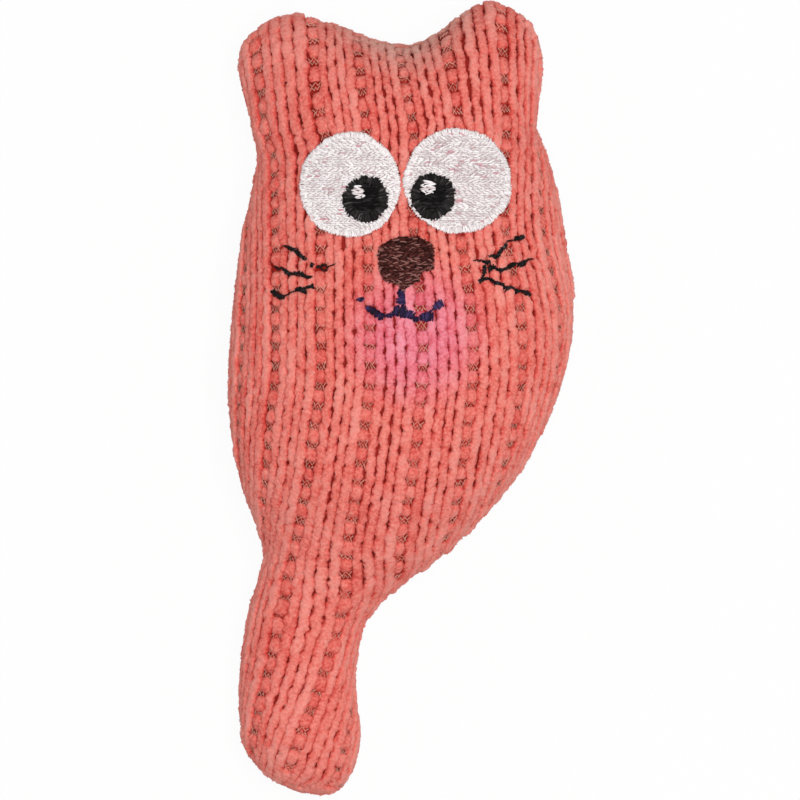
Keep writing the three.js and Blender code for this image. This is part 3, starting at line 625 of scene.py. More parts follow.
def chenille_material():
    material, tree, shader = new_material("chenille_pile", 0.95, 0.0, 0.0)
    shader.inputs["Subsurface Weight"].default_value = 0.35
    shader.inputs["Subsurface Radius"].default_value = (0.8, 0.25, 0.2)
    shader.inputs["Subsurface Scale"].default_value = 0.5 * MM
    fine = math_node(tree, "SUBTRACT", noise(tree, FINE_NOISE), FINE_LOW)
    fine = math_node(tree, "MULTIPLY", fine, FINE_SHARE)
    broad = math_node(tree, "MULTIPLY", noise(tree, BROAD_NOISE), BROAD_SHARE)
    yarn = math_node(tree, "MULTIPLY", shade_of(tree), YARN_SHARE)
    tone = math_node(tree, "ADD", math_node(tree, "ADD", fine, broad), yarn)
    coral, pink, tan = (ramp(tree, tone, stops) for stops in (CORAL, PINK, TAN_SHEEN))
    tinted = mix(tree, near(tree, *PINK_PLACE), coral, pink)
    # The tan mixed in at the crown's dip is painted sheen
    paint(tree, shader, mix(tree, near(tree, *TAN_SHEEN_PLACE), tinted, tan), *CHENILLE_BUMPS)
    return material


def ground_material():
    material, tree, shader = new_material("knit_ground", 0.95, 0.0, 0.0)
    paint(tree, shader, ramp(tree, noise(tree, GROUND_NOISE), GROUND_TONES), *GROUND_BUMPS)
    return material


def thread_material(slot, roughness, specular, stops):
    material, tree, shader = new_material(f"{slot}_strand", roughness, 0.0, specular)
    material["slot"] = slot
    strand = math_node(tree, "MULTIPLY", noise(tree, *STRAND_NOISE), STRAND_SHARE)
    tone = math_node(tree, "ADD", strand, math_node(tree, "MULTIPLY", shade_of(tree), STITCH_SHARE))
    paint(tree, shader, ramp(tree, tone, stops), *THREAD_BUMPS)
    return material


def inner_cloth_material(name, dark, light, scale):
    material, tree, shader = new_material(name, 0.95, 0.1, 0.2)
    colour = ramp(tree, noise(tree, scale), [(0.3, dark), (0.7, light)])
    paint(tree, shader, colour, 2 * scale, *CLOTH_BUMPS)
    return material


CHENILLE = chenille_material()
GROUND = ground_material()
WHITE, BLACK, BROWN, PLUM, CORE, SEAM = (thread_material(slot, *look) for slot, look in THREADS.items())


# Knit


def from_photo(run):
    """A stitched run's points and widths in millimetres."""
    x, y, width = np.array(run, float).T
    places = np.stack([x - PHOTO_MIDDLE[0], PHOTO_MIDDLE[1] - y, width], -1) * PHOTO_SCALE
    return places[:, :2], places[:, 2]


STITCHED_RUNS = MOUTH_RUNS + [run for runs in WHISKER_RUNS.values() for run in runs]
DENT_STEPS = 6
LINE_POINTS = np.concatenate([curve(from_photo(run)[0], DENT_STEPS) for run in STITCHED_RUNS])
# How deep the patches and the lines of the face press the knit in, and how wide a dent's edge is
DENT = 1.1
LINE_DENT = 0.75
DENT_EDGE = 0.9


def pressed(points, side):
    """How far the embroidery presses the knit in at each point."""
    if side < 0:
        return np.zeros(len(points))
    xy = points[:, :2]
    depth = np.zeros(len(points))
    for middle, width, height in EYES.values():
        reach = np.hypot(*((xy - middle) / [width / 2, height / 2]).T) * width / 2
        depth = np.maximum(depth, DENT * smoothstep(width / 2 + DENT_EDGE / 3 - reach, 0, DENT_EDGE))
    x, y = (xy - NOSE).T
    reach = np.minimum(x - np.interp(y, NOSE_RISE, NOSE_LEFT), np.interp(y, NOSE_RISE, NOSE_RIGHT) - x)
    reach = np.minimum(reach, np.minimum(y - NOSE_RISE[0], NOSE_RISE[-1] - y))
    depth = np.maximum(depth, DENT * smoothstep(DENT_EDGE / 3 + reach, 0, DENT_EDGE))
    gap = np.sqrt(((xy[:, None] - LINE_POINTS[None]) ** 2).sum(-1)).min(1)
    return np.maximum(depth, LINE_DENT * np.exp(-((gap / DENT_EDGE) ** 2)))


# On the crown's slopes the columns lie further apart than their pitch, and their ropes are wider by up to
# this factor, which fades out towards the ears' outer edges
MOST_STRETCH = 1.9
STRETCH_EDGE = (0.14, 0.34)
# Rows over the crown, down the body and round the tail's tip, points across, and the fewest rows of a rope
KNIT_ROWS = (22, 330, 34)
KNIT_ACROSS = 181
FEWEST_ROWS = 4
# Step across that a rope's normals are measured by
NUDGE = 0.01


def summed(steps):
    """Sums along each row of steps, from 0."""
    return np.concatenate([np.zeros((len(steps), 1)), np.cumsum(steps, axis=1)], axis=1)


class Knit:
    """How the columns of knit lie on one side of the form."""

    def __init__(self, side, line):
        self.side = side
        self.rows = form_rows(*KNIT_ROWS, CROWN_WRAP if side > 0 else 0.0)
        self.theta = np.linspace(-math.pi / 2, math.pi / 2, KNIT_ACROSS)
        grid = form_point(self.theta[None], self.rows[:, None], side, 0)
        ridge = grid[:, KNIT_ACROSS // 2]
        fall = np.hypot(np.diff(ridge[:, 1]), COURSE_SLOPE * np.diff(ridge[:, 2]))
        self.down = np.concatenate([[0], np.cumsum(fall)])
        arc = summed(np.linalg.norm(np.diff(grid[..., [0, 2]], axis=1), axis=-1))
        xy = np.array(line)[::-1]
        line_x = np.interp(ridge[:, 1], xy[:, 1], xy[:, 0])
        ease = np.ones(LINE_EASE) / LINE_EASE
        line_x = np.convolve(np.pad(line_x, LINE_EASE // 2, mode="edge"), ease, mode="valid")
        first = int(np.argmax(self.rows[:, 1] == 0))
        self.offset = np.array([a - np.interp(x, g[:, 0], a) for a, x, g in zip(arc, line_x, grid)])
        self.offset[:first] = self.offset[first]
        pitches = np.array([spline(stretch, self.rows[:, 0]) for stretch in PITCH]).T
        reach = summed(pitches * np.diff(PITCH_COLUMNS))
        self.reach = reach - reach[:, [PITCH_COLUMNS.index(0)]]

    def place(self, column):
        """Theta of a column at each row, whether the column is there, and the pitch around it."""
        want, ahead, behind = (
            np.array([np.interp(column + shift, PITCH_COLUMNS, reach) for reach in self.reach])
            for shift in (0, 1, -1)
        )
        there = (self.offset[:, 0] + SEAM_CLEAR < want) & (want < self.offset[:, -1] - SEAM_CLEAR)
        theta = np.array([np.interp(w, offset, self.theta) for w, offset in zip(want, self.offset)])
        if self.side > 0:
            theta = self.pulled(theta)
        return theta, there, (ahead - behind) / 2

    def pulled(self, theta):
        """Theta of a front column where the embroidery and the crown draw it sideways."""
        points = form_point(theta, self.rows, self.side, 0)
        half = spline(STATION_WIDTH, self.rows[:, 0]) / 2
        u = np.sin(theta)
        for pull_x, pull_y, reach, pull in PULLS:
            close = np.exp(-((points[:, 0] - pull_x) ** 2 + (points[:, 1] - pull_y) ** 2) / reach**2)
            u = u + pull * close / half
        u = u - (CROWN_LEAN + CROWN_LEAN_RISE * u) * (1 - u**2) * np.sin(self.rows[:, 1]) / half
        return np.arcsin(np.clip(u, -1, 1))

    def runs(self, column):
        """Each unbroken run of a column: lengths, points, normals, courses, pitch and stretch along it."""
        theta, there, pitch = self.place(column)
        marks = np.flatnonzero(np.diff(np.concatenate([[0], there.astype(int), [0]])))
        for start, stop in zip(marks[::2], marks[1::2]):
            if stop - start < FEWEST_ROWS:
                continue
            at, rows = theta[start:stop], self.rows[start:stop]
            points = form_point(at, rows, self.side, ROPE_SINK)
            over = form_point(at + NUDGE, rows, self.side, ROPE_SINK)
            across = over - form_point(at - NUDGE, rows, self.side, ROPE_SINK)
            upright = self.side * np.cross(unit(np.gradient(points, axis=0)), across)
            apart = np.linalg.norm(upright, axis=1) / np.linalg.norm(across[:, [0, 2]], axis=1)
            inside = smoothstep(1 - np.abs(np.sin(at)), *STRETCH_EDGE)
            stretch = 1 + (np.clip(apart, 1, MOST_STRETCH) - 1) * inside
            length = lengths(points)
            if length[-1] < SHORTEST_ROPE:
                continue
            s = np.linspace(0, length[-1], int(length[-1] / ROPE_STEP) + 1)
            values = np.column_stack(
                [points, unit(upright), self.down[start:stop], pitch[start:stop], stretch]
            )
            even = at_lengths(s, length, values)
            yield s, even[:, :3], unit(even[:, 3:6]), even[:, 6] / COURSE, even[:, 7], even[:, 8]


# How full a rope's very ends are
END_FULLNESS = 0.15
# Pile round a rope: raggedness, waves of its edges and top as sizes and wavelengths, and shares of its grain
RAGGED = 0.17
PILE_EDGE = [(1, 0.6), (0.9, 1.5)]
PILE_TOP = [(0.4, 1.6)]
PILE_GRAIN = 0.16
PILE_CLUMPS = 0.15
# A rope's top is painted paler and its sides, deep between ropes, darker: partly the pile's paler tips, and
# partly painted light and shade, as light from above falls on the rope
TOP_LIGHT = 0.85 * np.cos(ROPE_ANGLES)[:, None] - 0.55
# Painted sheen: where the form turns down to the seam the knit is stretched, and its pile is painted paler
# there, as the light that the pile catches
RIM_LIGHT = 0.4


def rounded_ends(s, radius):
    """Share of the radius that is left near a rope's two ends."""
    near_end = np.minimum(s, s[-1] - s) / radius
    return np.sqrt(np.clip(1 - (1 - np.clip(near_end + END_FULLNESS, 0, 1)) ** 2, 0, 1))


def widened(stretch):
    """How much wider than high a rope is where the knit is stretched."""
    return 1 + (stretch - 1) * np.abs(np.sin(ROPE_ANGLES))[:, None]


def pile(rng, s):
    """Uneven pile round a rope: its two edges and its top vary by themselves, and it has a grain."""
    edge = np.sin(ROPE_ANGLES)[:, None]
    left = np.maximum(-edge, 0) * waves(rng, s, PILE_EDGE)
    right = np.maximum(edge, 0) * waves(rng, s, PILE_EDGE)
    top = (1 - np.abs(edge)) * waves(rng, s, PILE_TOP)
    grain = rng.standard_normal((len(ROPE_ANGLES), len(s)))
    clumps = grain + np.roll(grain, 1, 0) + np.roll(grain, 1, 1) + np.roll(grain, (1, 1), (0, 1))
    return 1 + RAGGED * (left + right + top + PILE_GRAIN * grain + PILE_CLUMPS * clumps)


def rim_light(normals):
    return RIM_LIGHT * (1 - np.abs(normals[:, 2])) ** 2


def rope_radius(points, pitch, kind):
    return pitch * np.interp(points[:, 1], SHARE_Y, RADIUS_SHARE) * LEG_RADIUS[kind]


# Waves along the ropes as sizes and wavelengths: of radius, place sideways, place upwards and shade
LEG_WAVES = {
    "swell": [(0.08, 4.2), (0.06, 14)], "sway": [(0.15, 8), (0.1, 2.4)],
    "rise": [(0.16, 5)], "tone": [(0.18, 10), (0.18, 3)],
}
PURL_WAVES = {"swell": [(0.07, 3)], "sway": [(0.24, 4)], "rise": [(0.14, 5)], "tone": [(0.14, 8), (0.14, 2)]}
EDGE_WAVES = {
    "swell": [(0.09, 4)], "sway": [(0.12, 5)], "rise": [(0.14, 4)], "tone": [(0.16, 8), (0.16, 2.5)],
}
# Shades of the ropes, and what a leg's lift adds to its own, which is painted light and shade
LEG_SHADE = 0.5
# The sunken purl column's lower shade is partly painted shade
PURL_SHADE = 0.3
# The edge rope's high shade is partly painted sheen, paler where the form turns away
EDGE_SHADE_AND_SHEEN = 0.8
LIFT_SHADE = 0.35
# Creases after a leg's courses: stray and reach in courses, most depth as a share of the radius, and sinking
CREASE_STRAY = 0.15
CREASE_REACH = 0.1
CREASE_MOST = 0.12
CREASE_SINK = 0.6
# How far a leg's courses slant to the side, and the share of a second, shorter wave in that
SLANT = 0.15
SLANT_SECOND = 0.35


def leg(rope, tufts, rng, s, points, normals, courses, pitch, stretch, kind, side):
    """One raised leg column: a chenille rope with a slight crease after each course."""
    turn = (courses + rng.uniform(-CREASE_STRAY, CREASE_STRAY)) % 1
    course = courses.astype(int)
    notch = rng.uniform(0, CREASE_MOST, course[-1] + 1)[course]
    crease = notch * np.exp(-((np.minimum(turn, 1 - turn) / CREASE_REACH) ** 2))
    radius = rope_radius(points, pitch, kind) * (1 + waves(rng, s, LEG_WAVES["swell"]) - crease)
    wave = np.sin(2 * math.pi * turn) + SLANT_SECOND * np.sin(4 * math.pi * turn)
    slant = (1 if kind % 2 else -1) * SLANT * wave
    across = np.cross(unit(np.gradient(points, axis=0)), normals)
    sway = slant + waves(rng, s, LEG_WAVES["sway"])
    rise = LEG_LIFT[kind] + waves(rng, s, LEG_WAVES["rise"]) - CREASE_SINK * crease - pressed(points, side)
    centres = points + across * sway[:, None] + normals * rise[:, None]
    radii = radius * rounded_ends(s, radius) * widened(stretch) * pile(rng, s)
    # Painted light and shade: a raised leg is painted paler and a sunken one darker, and each crease is
    # painted darker
    tone = waves(rng, s, LEG_WAVES["tone"]) + LIFT_SHADE * LEG_LIFT[kind]
    shade = LEG_SHADE + tone - crease + rim_light(normals)
    tufts.add(rope.add(centres, normals, radii, shade + TOP_LIGHT))


# Eyelets: start, stray and soft edge in courses from a hump's middle, depth, share of the radius, and the
# painted shade that darkens each hole
EYELET_START = 0.14
EYELET_STRAY = 0.05
EYELET_EDGE = 0.1
EYELET_DEPTH = 0.7
EYELET_RADIUS = 0.8
EYELET_PAINTED_SHADE = (0.5, 1.0)
# Drift of humps and eyelets along a column, as size in courses and wavelength
COURSE_DRIFT = [(0.1, 9)]
# Eyelets have core threads this far from a column's ends, in courses, where the face presses less than this
EYELET_CLEAR = 0.1
EYELET_PRESSED = 0.2
# Core threads: reach along the column, height, width in pitches, stray across, along and up, radius and shade
EYELET_REACH = 0.85
EYELET_RISE = 0.15
CORE_WIDTH = (0.9, 1.15)
CORE_STRAY = (0.1, 0.14, 0.12)
CORE_RADIUS = (0.085, 0.125)
CORE_SHADE = (0.5, 1)


def purl(rope, tufts, eyelets, rng, s, points, normals, courses, pitch, stretch, side):
    """One sunken purl column: a hump at each course, with an eyelet crossed by core threads between humps,
    each eyelet painted dark as the shade in its hole.
    """
    place = courses + waves(rng, s, COURSE_DRIFT)
    course = np.round(place).astype(int)
    start = EYELET_START + rng.uniform(-EYELET_STRAY, EYELET_STRAY, int(place[-1]) + 2)[course]
    darker = rng.uniform(*EYELET_PAINTED_SHADE, int(place[-1]) + 2)[course]
    hollow = smoothstep(np.abs(place % 1 - 0.5), start, start + EYELET_EDGE)
    swell = 1 - (1 - EYELET_RADIUS) * hollow + waves(rng, s, PURL_WAVES["swell"])
    radius = rope_radius(points, pitch, 0) * swell
    along = unit(np.gradient(points, axis=0))
    across = np.cross(along, normals)
    rise = waves(rng, s, PURL_WAVES["rise"]) - EYELET_DEPTH * hollow / stretch**2 - pressed(points, side)
    sway = waves(rng, s, PURL_WAVES["sway"])
    centres = points + normals * (LEG_LIFT[0] + rise)[:, None] + across * sway[:, None]
    # Each eyelet is painted darker, as painted shade in its hole
    shade = PURL_SHADE - darker * hollow + waves(rng, s, PURL_WAVES["tone"]) + rim_light(normals)
    radii = radius * rounded_ends(s, pitch) * widened(stretch) * pile(rng, s)
    tufts.add(rope.add(centres, normals, radii, shade + TOP_LIGHT))
    holes = np.arange(math.ceil(place[0] + EYELET_CLEAR), place[-1] - EYELET_CLEAR)
    for hole in np.interp(holes, place, np.arange(len(s))).astype(int):
        if pressed(points[hole:hole + 1], side)[0] < EYELET_PRESSED:
            eyelet(eyelets, rng, points[hole], normals[hole], along[hole], across[hole], pitch[hole])


def eyelet(eyelets, rng, point, normal, along, across, pitch):
    """Core threads of an eyelet: a zigzag to either side of its middle, along which the two meet."""
    width = pitch * rng.uniform(*CORE_WIDTH)
    for way, teeth in ((1, 3), (-1, 2)):
        count = 2 * teeth + 1
        stray = [rng.uniform(-size, size, count) for size in CORE_STRAY]
        zig = np.linspace(-0.5, 0.5, count) * width + stray[0]
        zag = way * EYELET_REACH * (np.arange(count) % 2 == 0) + stray[1]
        rise = EYELET_RISE + stray[2]
        path = point + across * zig[:, None] + along * zag[:, None] + normal * rise[:, None]
        eyelets.add(path, np.tile(normal, (count, 1)), rng.uniform(*CORE_RADIUS), rng.uniform(*CORE_SHADE))


# The sewn edge of a side: how far its rope lies inside the seam and to its own side, its radius and top light
EDGE_SINK = 1.15
EDGE_RISE = 0.8
EDGE_RADIUS = 1.0
EDGE_TOP = 0.5
# How far out on the crown the edge starts, and how far round the tail's tip it reaches, as an angle
EDGE_CROWN = 0.9
EDGE_TIP = 1.58
EDGE_STEPS = 40
# Where the back's edge shows over the crown between the ears, and how far it lies inside the seam there
CROWN_RIM = (-0.4, 0.26)
RIM_STEPS = 200
RIM_SINK = 0.55
# The row of the form that is the crown's seam
CROWN_SEAM = np.array([0, math.pi / 2, 0])


def seam_path(hand):
    """The seam of one side of the toy, between an ear's corner and the tail's tip; hand is -1 on the left."""
    over = np.arcsin(np.linspace(EDGE_CROWN, 1, EDGE_STEPS))
    crown = form_point(hand * over, CROWN_SEAM, 1, 0)
    rows = form_rows(*KNIT_ROWS)
    flank = form_point(np.full(len(rows), hand * math.pi / 2), rows, 1, 0)[rows[:, 2] < EDGE_TIP]
    return np.concatenate([crown, flank[1:]])[::hand]


def crown_path():
    return form_point(np.arcsin(np.linspace(*CROWN_RIM, RIM_STEPS)), CROWN_SEAM, 1, 0)


def edge(rope, tufts, rng, side, path, sink):
    """The rope of knit that the seam turns in along an edge; the path runs clockwise round the face."""
    length = lengths(path)
    s = np.linspace(0, length[-1], int(length[-1] / ROPE_STEP) + 1)
    path = at_lengths(s, length, path)
    up = np.array([0, 0, side])
    inward = np.cross(unit(np.gradient(path, axis=0)), [0, 0, 1])
    sway = sink + waves(rng, s, EDGE_WAVES["sway"])
    rise = EDGE_RISE + waves(rng, s, EDGE_WAVES["rise"])
    centres = path + inward * sway[:, None] + up * rise[:, None]
    radius = EDGE_RADIUS * (1 + waves(rng, s, EDGE_WAVES["swell"]))
    # The edge rope is painted paler, partly as painted sheen
    shade = EDGE_SHADE_AND_SHEEN + waves(rng, s, EDGE_WAVES["tone"])
    radii = radius * rounded_ends(s, radius) * pile(rng, s)
    tufts.add(rope.add(centres, unit(up - inward), radii, shade + EDGE_TOP * TOP_LIGHT))


def lay_knit(side, line, name, seed):
    """The ropes, pile and eyelet threads of one side."""
    rng = np.random.default_rng(seed)
    knit = Knit(side, line)
    pieces = {part: Strands(ROPE) for part in KNIT_PIECES}
    eyelets = Strands(THREAD, cell_rows=24)
    tufts = Tufts(rng)
    for column in range(-LAST_COLUMN, LAST_COLUMN + 1):
        kind = column % REPEAT
        rope = [pieces[part] for part, first in KNIT_PIECES.items() if first <= column][-1]
        for run in knit.runs(column):
            if kind:
                leg(rope, tufts, rng, *run, kind, side)
            else:
                purl(rope, tufts, eyelets, rng, *run, side)
    for hand, part in ((-1, "outer_left"), (1, "outer_right")):
        edge(pieces[part], tufts, rng, side, seam_path(hand), EDGE_SINK)
    if side < 0:
        edge(pieces["outer_left"], tufts, rng, side, crown_path(), RIM_SINK)
    made = [rope.build(f"{name}_knit_{part}", CHENILLE) for part, rope in pieces.items()]
    return made + [tufts.build(f"{name}_pile", CHENILLE), eyelets.build(f"{name}_eyelet_threads", CORE)]


# The ground's depth under the form, its rows and points across, and how close points are sewn into one
GROUND_INSET = 1.35
GROUND_ROWS = (9, 90, 12)
GROUND_ACROSS = 73
SEWN_WITHIN = 0.02
THINNEST = 0.01


def lay_ground():
    """The closed skin under the ropes, which shows in the gaps, dark as painted shade there."""
    rows = form_rows(*GROUND_ROWS)
    theta = np.linspace(-math.pi / 2, math.pi / 2, GROUND_ACROSS)
    grids = [form_point(theta[None], rows[:, None], side, GROUND_INSET) for side in (1, -1)]
    points = np.concatenate([g.reshape(-1, 3) for g in grids])
    corner = (np.arange(len(rows) - 1)[:, None] * GROUND_ACROSS + np.arange(GROUND_ACROSS - 1)).ravel()
    front = np.stack([corner, corner + GROUND_ACROSS, corner + GROUND_ACROSS + 1, corner + 1], -1)
    back = front[:, ::-1] + len(points) // 2
    faces = [np.concatenate([front, back])]
    piece = make_mesh("knit_ground", points, faces, np.zeros(len(points)), None, GROUND)
    sewn = bmesh.new()
    sewn.from_mesh(piece.data)
    bmesh.ops.remove_doubles(sewn, verts=sewn.verts, dist=SEWN_WITHIN * MM)
    bmesh.ops.dissolve_degenerate(sewn, edges=sewn.edges, dist=THINNEST * MM)
    bmesh.ops.recalc_face_normals(sewn, faces=sewn.faces)
    sewn.to_mesh(piece.data)
    sewn.free()
    return piece


# Embroidery

# Fills: distance of rows, length, radius and height of stitches, and tilt of a row
EYE_FILL = {"spacing": 0.38, "length": 1.05, "radius": 0.18, "lift": 0.4, "wave": 0.15}
PUPIL_FILL = {"spacing": 0.38, "length": 2.2, "radius": 0.17, "lift": 0.72, "wave": 0.2}
GLINT_FILL = {"spacing": 0.36, "length": 3.5, "radius": 0.19, "lift": 0.98, "wave": 0.2}
NOSE_FILL = {"spacing": 0.32, "length": 1.25, "radius": 0.15, "lift": 0.45, "wave": 0.26}
NOSE_FOOT_FILL = {"spacing": 0.3, "length": 2.4, "radius": 0.18, "lift": 0.4, "wave": 0.1}
# How far inside their ovals the fills of white and pupil end, and the white under the pupil
WHITE_INSET = 0.9
PUPIL_INSET = 1.2
UNDER_PUPIL = 0.6
# Satin rings: reach inward, distance, radius and height of stitches, and raggedness of their outer ends
EYE_RING = {"inner": 1.3, "spacing": 0.13, "radius": 0.095, "lift": 0.46, "ragged": 0.45}
PUPIL_RING = {"inner": 1.9, "spacing": 0.3, "radius": 0.17, "lift": 0.78, "ragged": 0.6}
RING_LEAN = 0.03
RING_INNER = (0.7, 1.2)
RING_OUTER = (-0.4, 0.6)
RING_DIP = 0.2
RING_TONES = (0.4, 1.1)
# Pads: corners and inset of the edge, and heights of top and foot
EYE_LOOP = (72, 0.35)
PUPIL_LOOP = (40, 0.4)
EYE_PAD = (0.1, -1.3)
PUPIL_PAD = (0.6, 0.0)
NOSE_PAD = (0.14, -1.3)
NOSE_PAD_SHARE = 0.94
PAD_RINGS = 10
# Pads are painted darker than their stitches, as painted shade between the stitches
PAD_PAINTED_SHADE = 0.1
# Waves round an oval's edge, and how uneven each kind of oval is
OVAL_WAVES = (2, 3, 5, 9)
EYE_UNEVEN = 0.011
PUPIL_UNEVEN = 0.015
GLINT_UNEVEN = 0.1
# Room round a fill, and the rows at the nose's foot: their middle over its lowest point, and their height
FILL_ROOM = 1
NOSE_FOOT_RISE = 0.4
NOSE_FOOT_HEIGHT = 0.9
# Stitches: points along one, depth of its ends, unevenness of height, shares of the radius, and shades
STITCH_STEPS = 7
STITCH_DIP = 0.3
STITCH_UNEVEN = 0.04
STITCH_RADII = (0.85, 1.1)
TONES = (0.1, 1)
# Shares of a fill stitch's length, points along it, its own tilt and the gap after it
FILL_LENGTHS = (0.6, 1.4)
FILL_STEPS = 13
FILL_TILT = 0.12
FILL_GAP = 0.1
# Shades of the few eye stitches that show the cloth's pink, which the white thread's ramp starts with
TINTS = (-0.35, 0.2)
EYE_TINTED = {"left": 0.045, "right": 0.1}
EYE_TONES = {"left": (0.45, 1.1), "right": (0.3, 1.0)}
FACE_SEED = 5


class Oval:
    """An embroidered oval whose edge is pulled a little out of shape."""

    def __init__(self, middle, width, height, rng, uneven):
        self.middle = np.array(middle)
        self.half = np.array([width, height]) / 2
        self.waves = [(n, rng.uniform(0, 2 * math.pi), uneven * rng.uniform(0.5, 1)) for n in OVAL_WAVES]

    def edge(self, angle, inset=0.0):
        share = 1 + sum(size * np.sin(n * angle + phase) for n, phase, size in self.waves)
        ray = np.stack([np.cos(angle), np.sin(angle)], -1)
        return self.middle + ray * (self.half * share[..., None] - inset)

    def holds(self, x, y, inset=0.0):
        away = np.stack([x, y], -1) - self.middle
        angle = np.arctan2(away[..., 1] / self.half[1], away[..., 0] / self.half[0])
        return np.linalg.norm(away, axis=-1) < np.linalg.norm(self.edge(angle, inset) - self.middle, axis=-1)

    def loop(self, count, inset):
        return self.edge(np.linspace(0, 2 * math.pi, count, endpoint=False), inset)


def make_pad(name, outline, centre, lift, foot, material):
    """Closed pad that the stitches lie on, between two heights over the form."""
    share = np.linspace(1, 0, PAD_RINGS, endpoint=False)
    top = (centre + share[:, None, None] * (outline - centre)).reshape(-1, 2)
    heights = [(outline, foot), (top, lift), (centre[None], foot), (centre[None], lift)]
    points = np.concatenate([on_face(xy, height)[0] for xy, height in heights])
    faces = tube_faces(PAD_RINGS + 1, len(outline))
    return make_mesh(name, points, faces, np.full(len(points), PAD_PAINTED_SHADE), None, material)


def stitch(threads, start, end, lift, rng, radius, dip=STITCH_DIP, shade=None):
    """One straight stitch that dives into the pad at both ends."""
    share = np.linspace(0, 1, STITCH_STEPS)
    xy = start + share[:, None] * (np.asarray(end) - start)
    arch = lift - dip * (2 * np.abs(share - 0.5)) ** 4 + rng.uniform(-STITCH_UNEVEN, STITCH_UNEVEN)
    points, normals = on_face(xy, arch)
    tone = rng.uniform(*TONES) if shade is None else shade
    threads.add(points, normals, radius * rng.uniform(*STITCH_RADII), tone)


def fill_rows(threads, rng, inside, box, spacing, length, radius, lift, wave, tinted=0.0, tones=TONES):
    """Rows of stitches from left to right where inside is true, a share of them tinted by the cloth below."""
    left, right, low, high = box
    for y in np.arange(low, high, spacing):
        x = left - rng.uniform(0, length)
        bend = rng.uniform(-wave, wave)
        while x < right:
            end = x + length * rng.uniform(*FILL_LENGTHS)
            xs = np.linspace(x, end, FILL_STEPS)
            keep = xs[inside(xs, np.full(FILL_STEPS, y))]
            if len(keep) > 2:
                tilt = bend + rng.uniform(-FILL_TILT, FILL_TILT)
                shade = rng.uniform(*(TINTS if rng.uniform() < tinted else tones))
                ends = np.array([keep[0], y - tilt]), np.array([keep[-1], y + tilt])
                stitch(threads, *ends, lift, rng, radius, shade=shade)
            x = end + FILL_GAP


def ring_stitches(threads, rng, oval, inner, spacing, radius, lift, ragged):
    """Satin stitches round the edge of an oval, from inside it to its uneven edge."""
    count = int(math.pi * oval.half.sum() / spacing)
    for angle in np.linspace(0, 2 * math.pi, count, endpoint=False):
        lean = angle + rng.uniform(-RING_LEAN, RING_LEAN)
        start = oval.edge(np.array(lean), inner * rng.uniform(*RING_INNER))
        end = oval.edge(np.array(angle), rng.uniform(*RING_OUTER) * ragged)
        stitch(threads, start, end, lift, rng, radius, RING_DIP, rng.uniform(*RING_TONES))


def box_round(middle, width, height):
    x, y = middle
    return x - width / 2, x + width / 2, y - height / 2, y + height / 2


def make_eye(side, rng):
    glint_width, glint_height, glint_place = GLINTS[side]
    eye = Oval(*EYES[side], rng, EYE_UNEVEN)
    pupil = Oval(PUPILS[side], PUPIL_WIDTH, PUPIL_HEIGHT, rng, PUPIL_UNEVEN)
    glint = Oval(pupil.middle + glint_place, glint_width, glint_height, rng, GLINT_UNEVEN)
    white, black, shine = (Strands(THREAD, cell_rows) for cell_rows in (24, 10, 2))

    def in_white(x, y):
        return eye.holds(x, y, WHITE_INSET) & ~pupil.holds(x, y, UNDER_PUPIL)

    def in_pupil(x, y):
        return pupil.holds(x, y, PUPIL_INSET)

    looks = {"tinted": EYE_TINTED[side], "tones": EYE_TONES[side]}
    fill_rows(white, rng, in_white, box_round(*EYES[side]), **EYE_FILL, **looks)
    ring_stitches(white, rng, eye, **EYE_RING)
    fill_rows(black, rng, in_pupil, box_round(pupil.middle, PUPIL_WIDTH, PUPIL_HEIGHT), **PUPIL_FILL)
    ring_stitches(black, rng, pupil, **PUPIL_RING)
    glint_box = box_round(glint.middle, glint_width + FILL_ROOM, glint_height + FILL_ROOM)
    fill_rows(shine, rng, glint.holds, glint_box, **GLINT_FILL)
    return [
        (white.build(f"{side}_eye_stitches", WHITE), f"{side}_eye_white"),
        (make_pad(f"{side}_eye_pad", eye.loop(*EYE_LOOP), eye.middle, *EYE_PAD, WHITE), None),
        (black.build(f"{side}_pupil_stitches", BLACK), f"{side}_pupil"),
        (make_pad(f"{side}_pupil_pad", pupil.loop(*PUPIL_LOOP), pupil.middle, *PUPIL_PAD, BLACK), None),
        (shine.build(f"{side}_glint_stitches", WHITE), f"{side}_glint"),
    ]


def make_nose(rng):
    def in_nose(x, y):
        left, right = (np.interp(y - NOSE[1], NOSE_RISE, edge) for edge in (NOSE_LEFT, NOSE_RIGHT))
        return (left < x - NOSE[0]) & (x - NOSE[0] < right)

    threads = Strands(THREAD, cell_rows=10)
    box = box_round(NOSE, NOSE_WIDTH + FILL_ROOM, 2 * NOSE_RISE[-1])
    fill_rows(threads, rng, in_nose, box, **NOSE_FILL)
    foot = box_round(NOSE + [0, NOSE_RISE[0] + NOSE_FOOT_RISE], NOSE_WIDTH, NOSE_FOOT_HEIGHT)
    fill_rows(threads, rng, in_nose, foot, **NOSE_FOOT_FILL)
    right_edge = np.stack([NOSE_RIGHT, NOSE_RISE], -1)
    left_edge = np.stack([NOSE_LEFT, NOSE_RISE], -1)[::-1]
    outline = NOSE + NOSE_PAD_SHARE * np.concatenate([right_edge, left_edge])
    pad = make_pad("nose_pad", outline, NOSE, *NOSE_PAD, BROWN)
    return [(threads.build("nose_stitches", BROWN), "nose"), (pad, None)]


# Lines: height, and the stitches' reach in widths, distance, lean, radius in widths with its limits, and dip
MOUTH_LIFT = 0.05
WHISKER_LIFT = -0.2
MOUTH_REACH = (0.8, 1.2)
WHISKER_REACH = (0.5, 1.05)
LINE_SPACING = 0.25
LINE_LEAN = (-0.1, 0.3)
LINE_RADIUS = 0.18
LINE_RADII = (0.09, 0.17)
LINE_DIP = 0.35
LINE_STEPS = 8


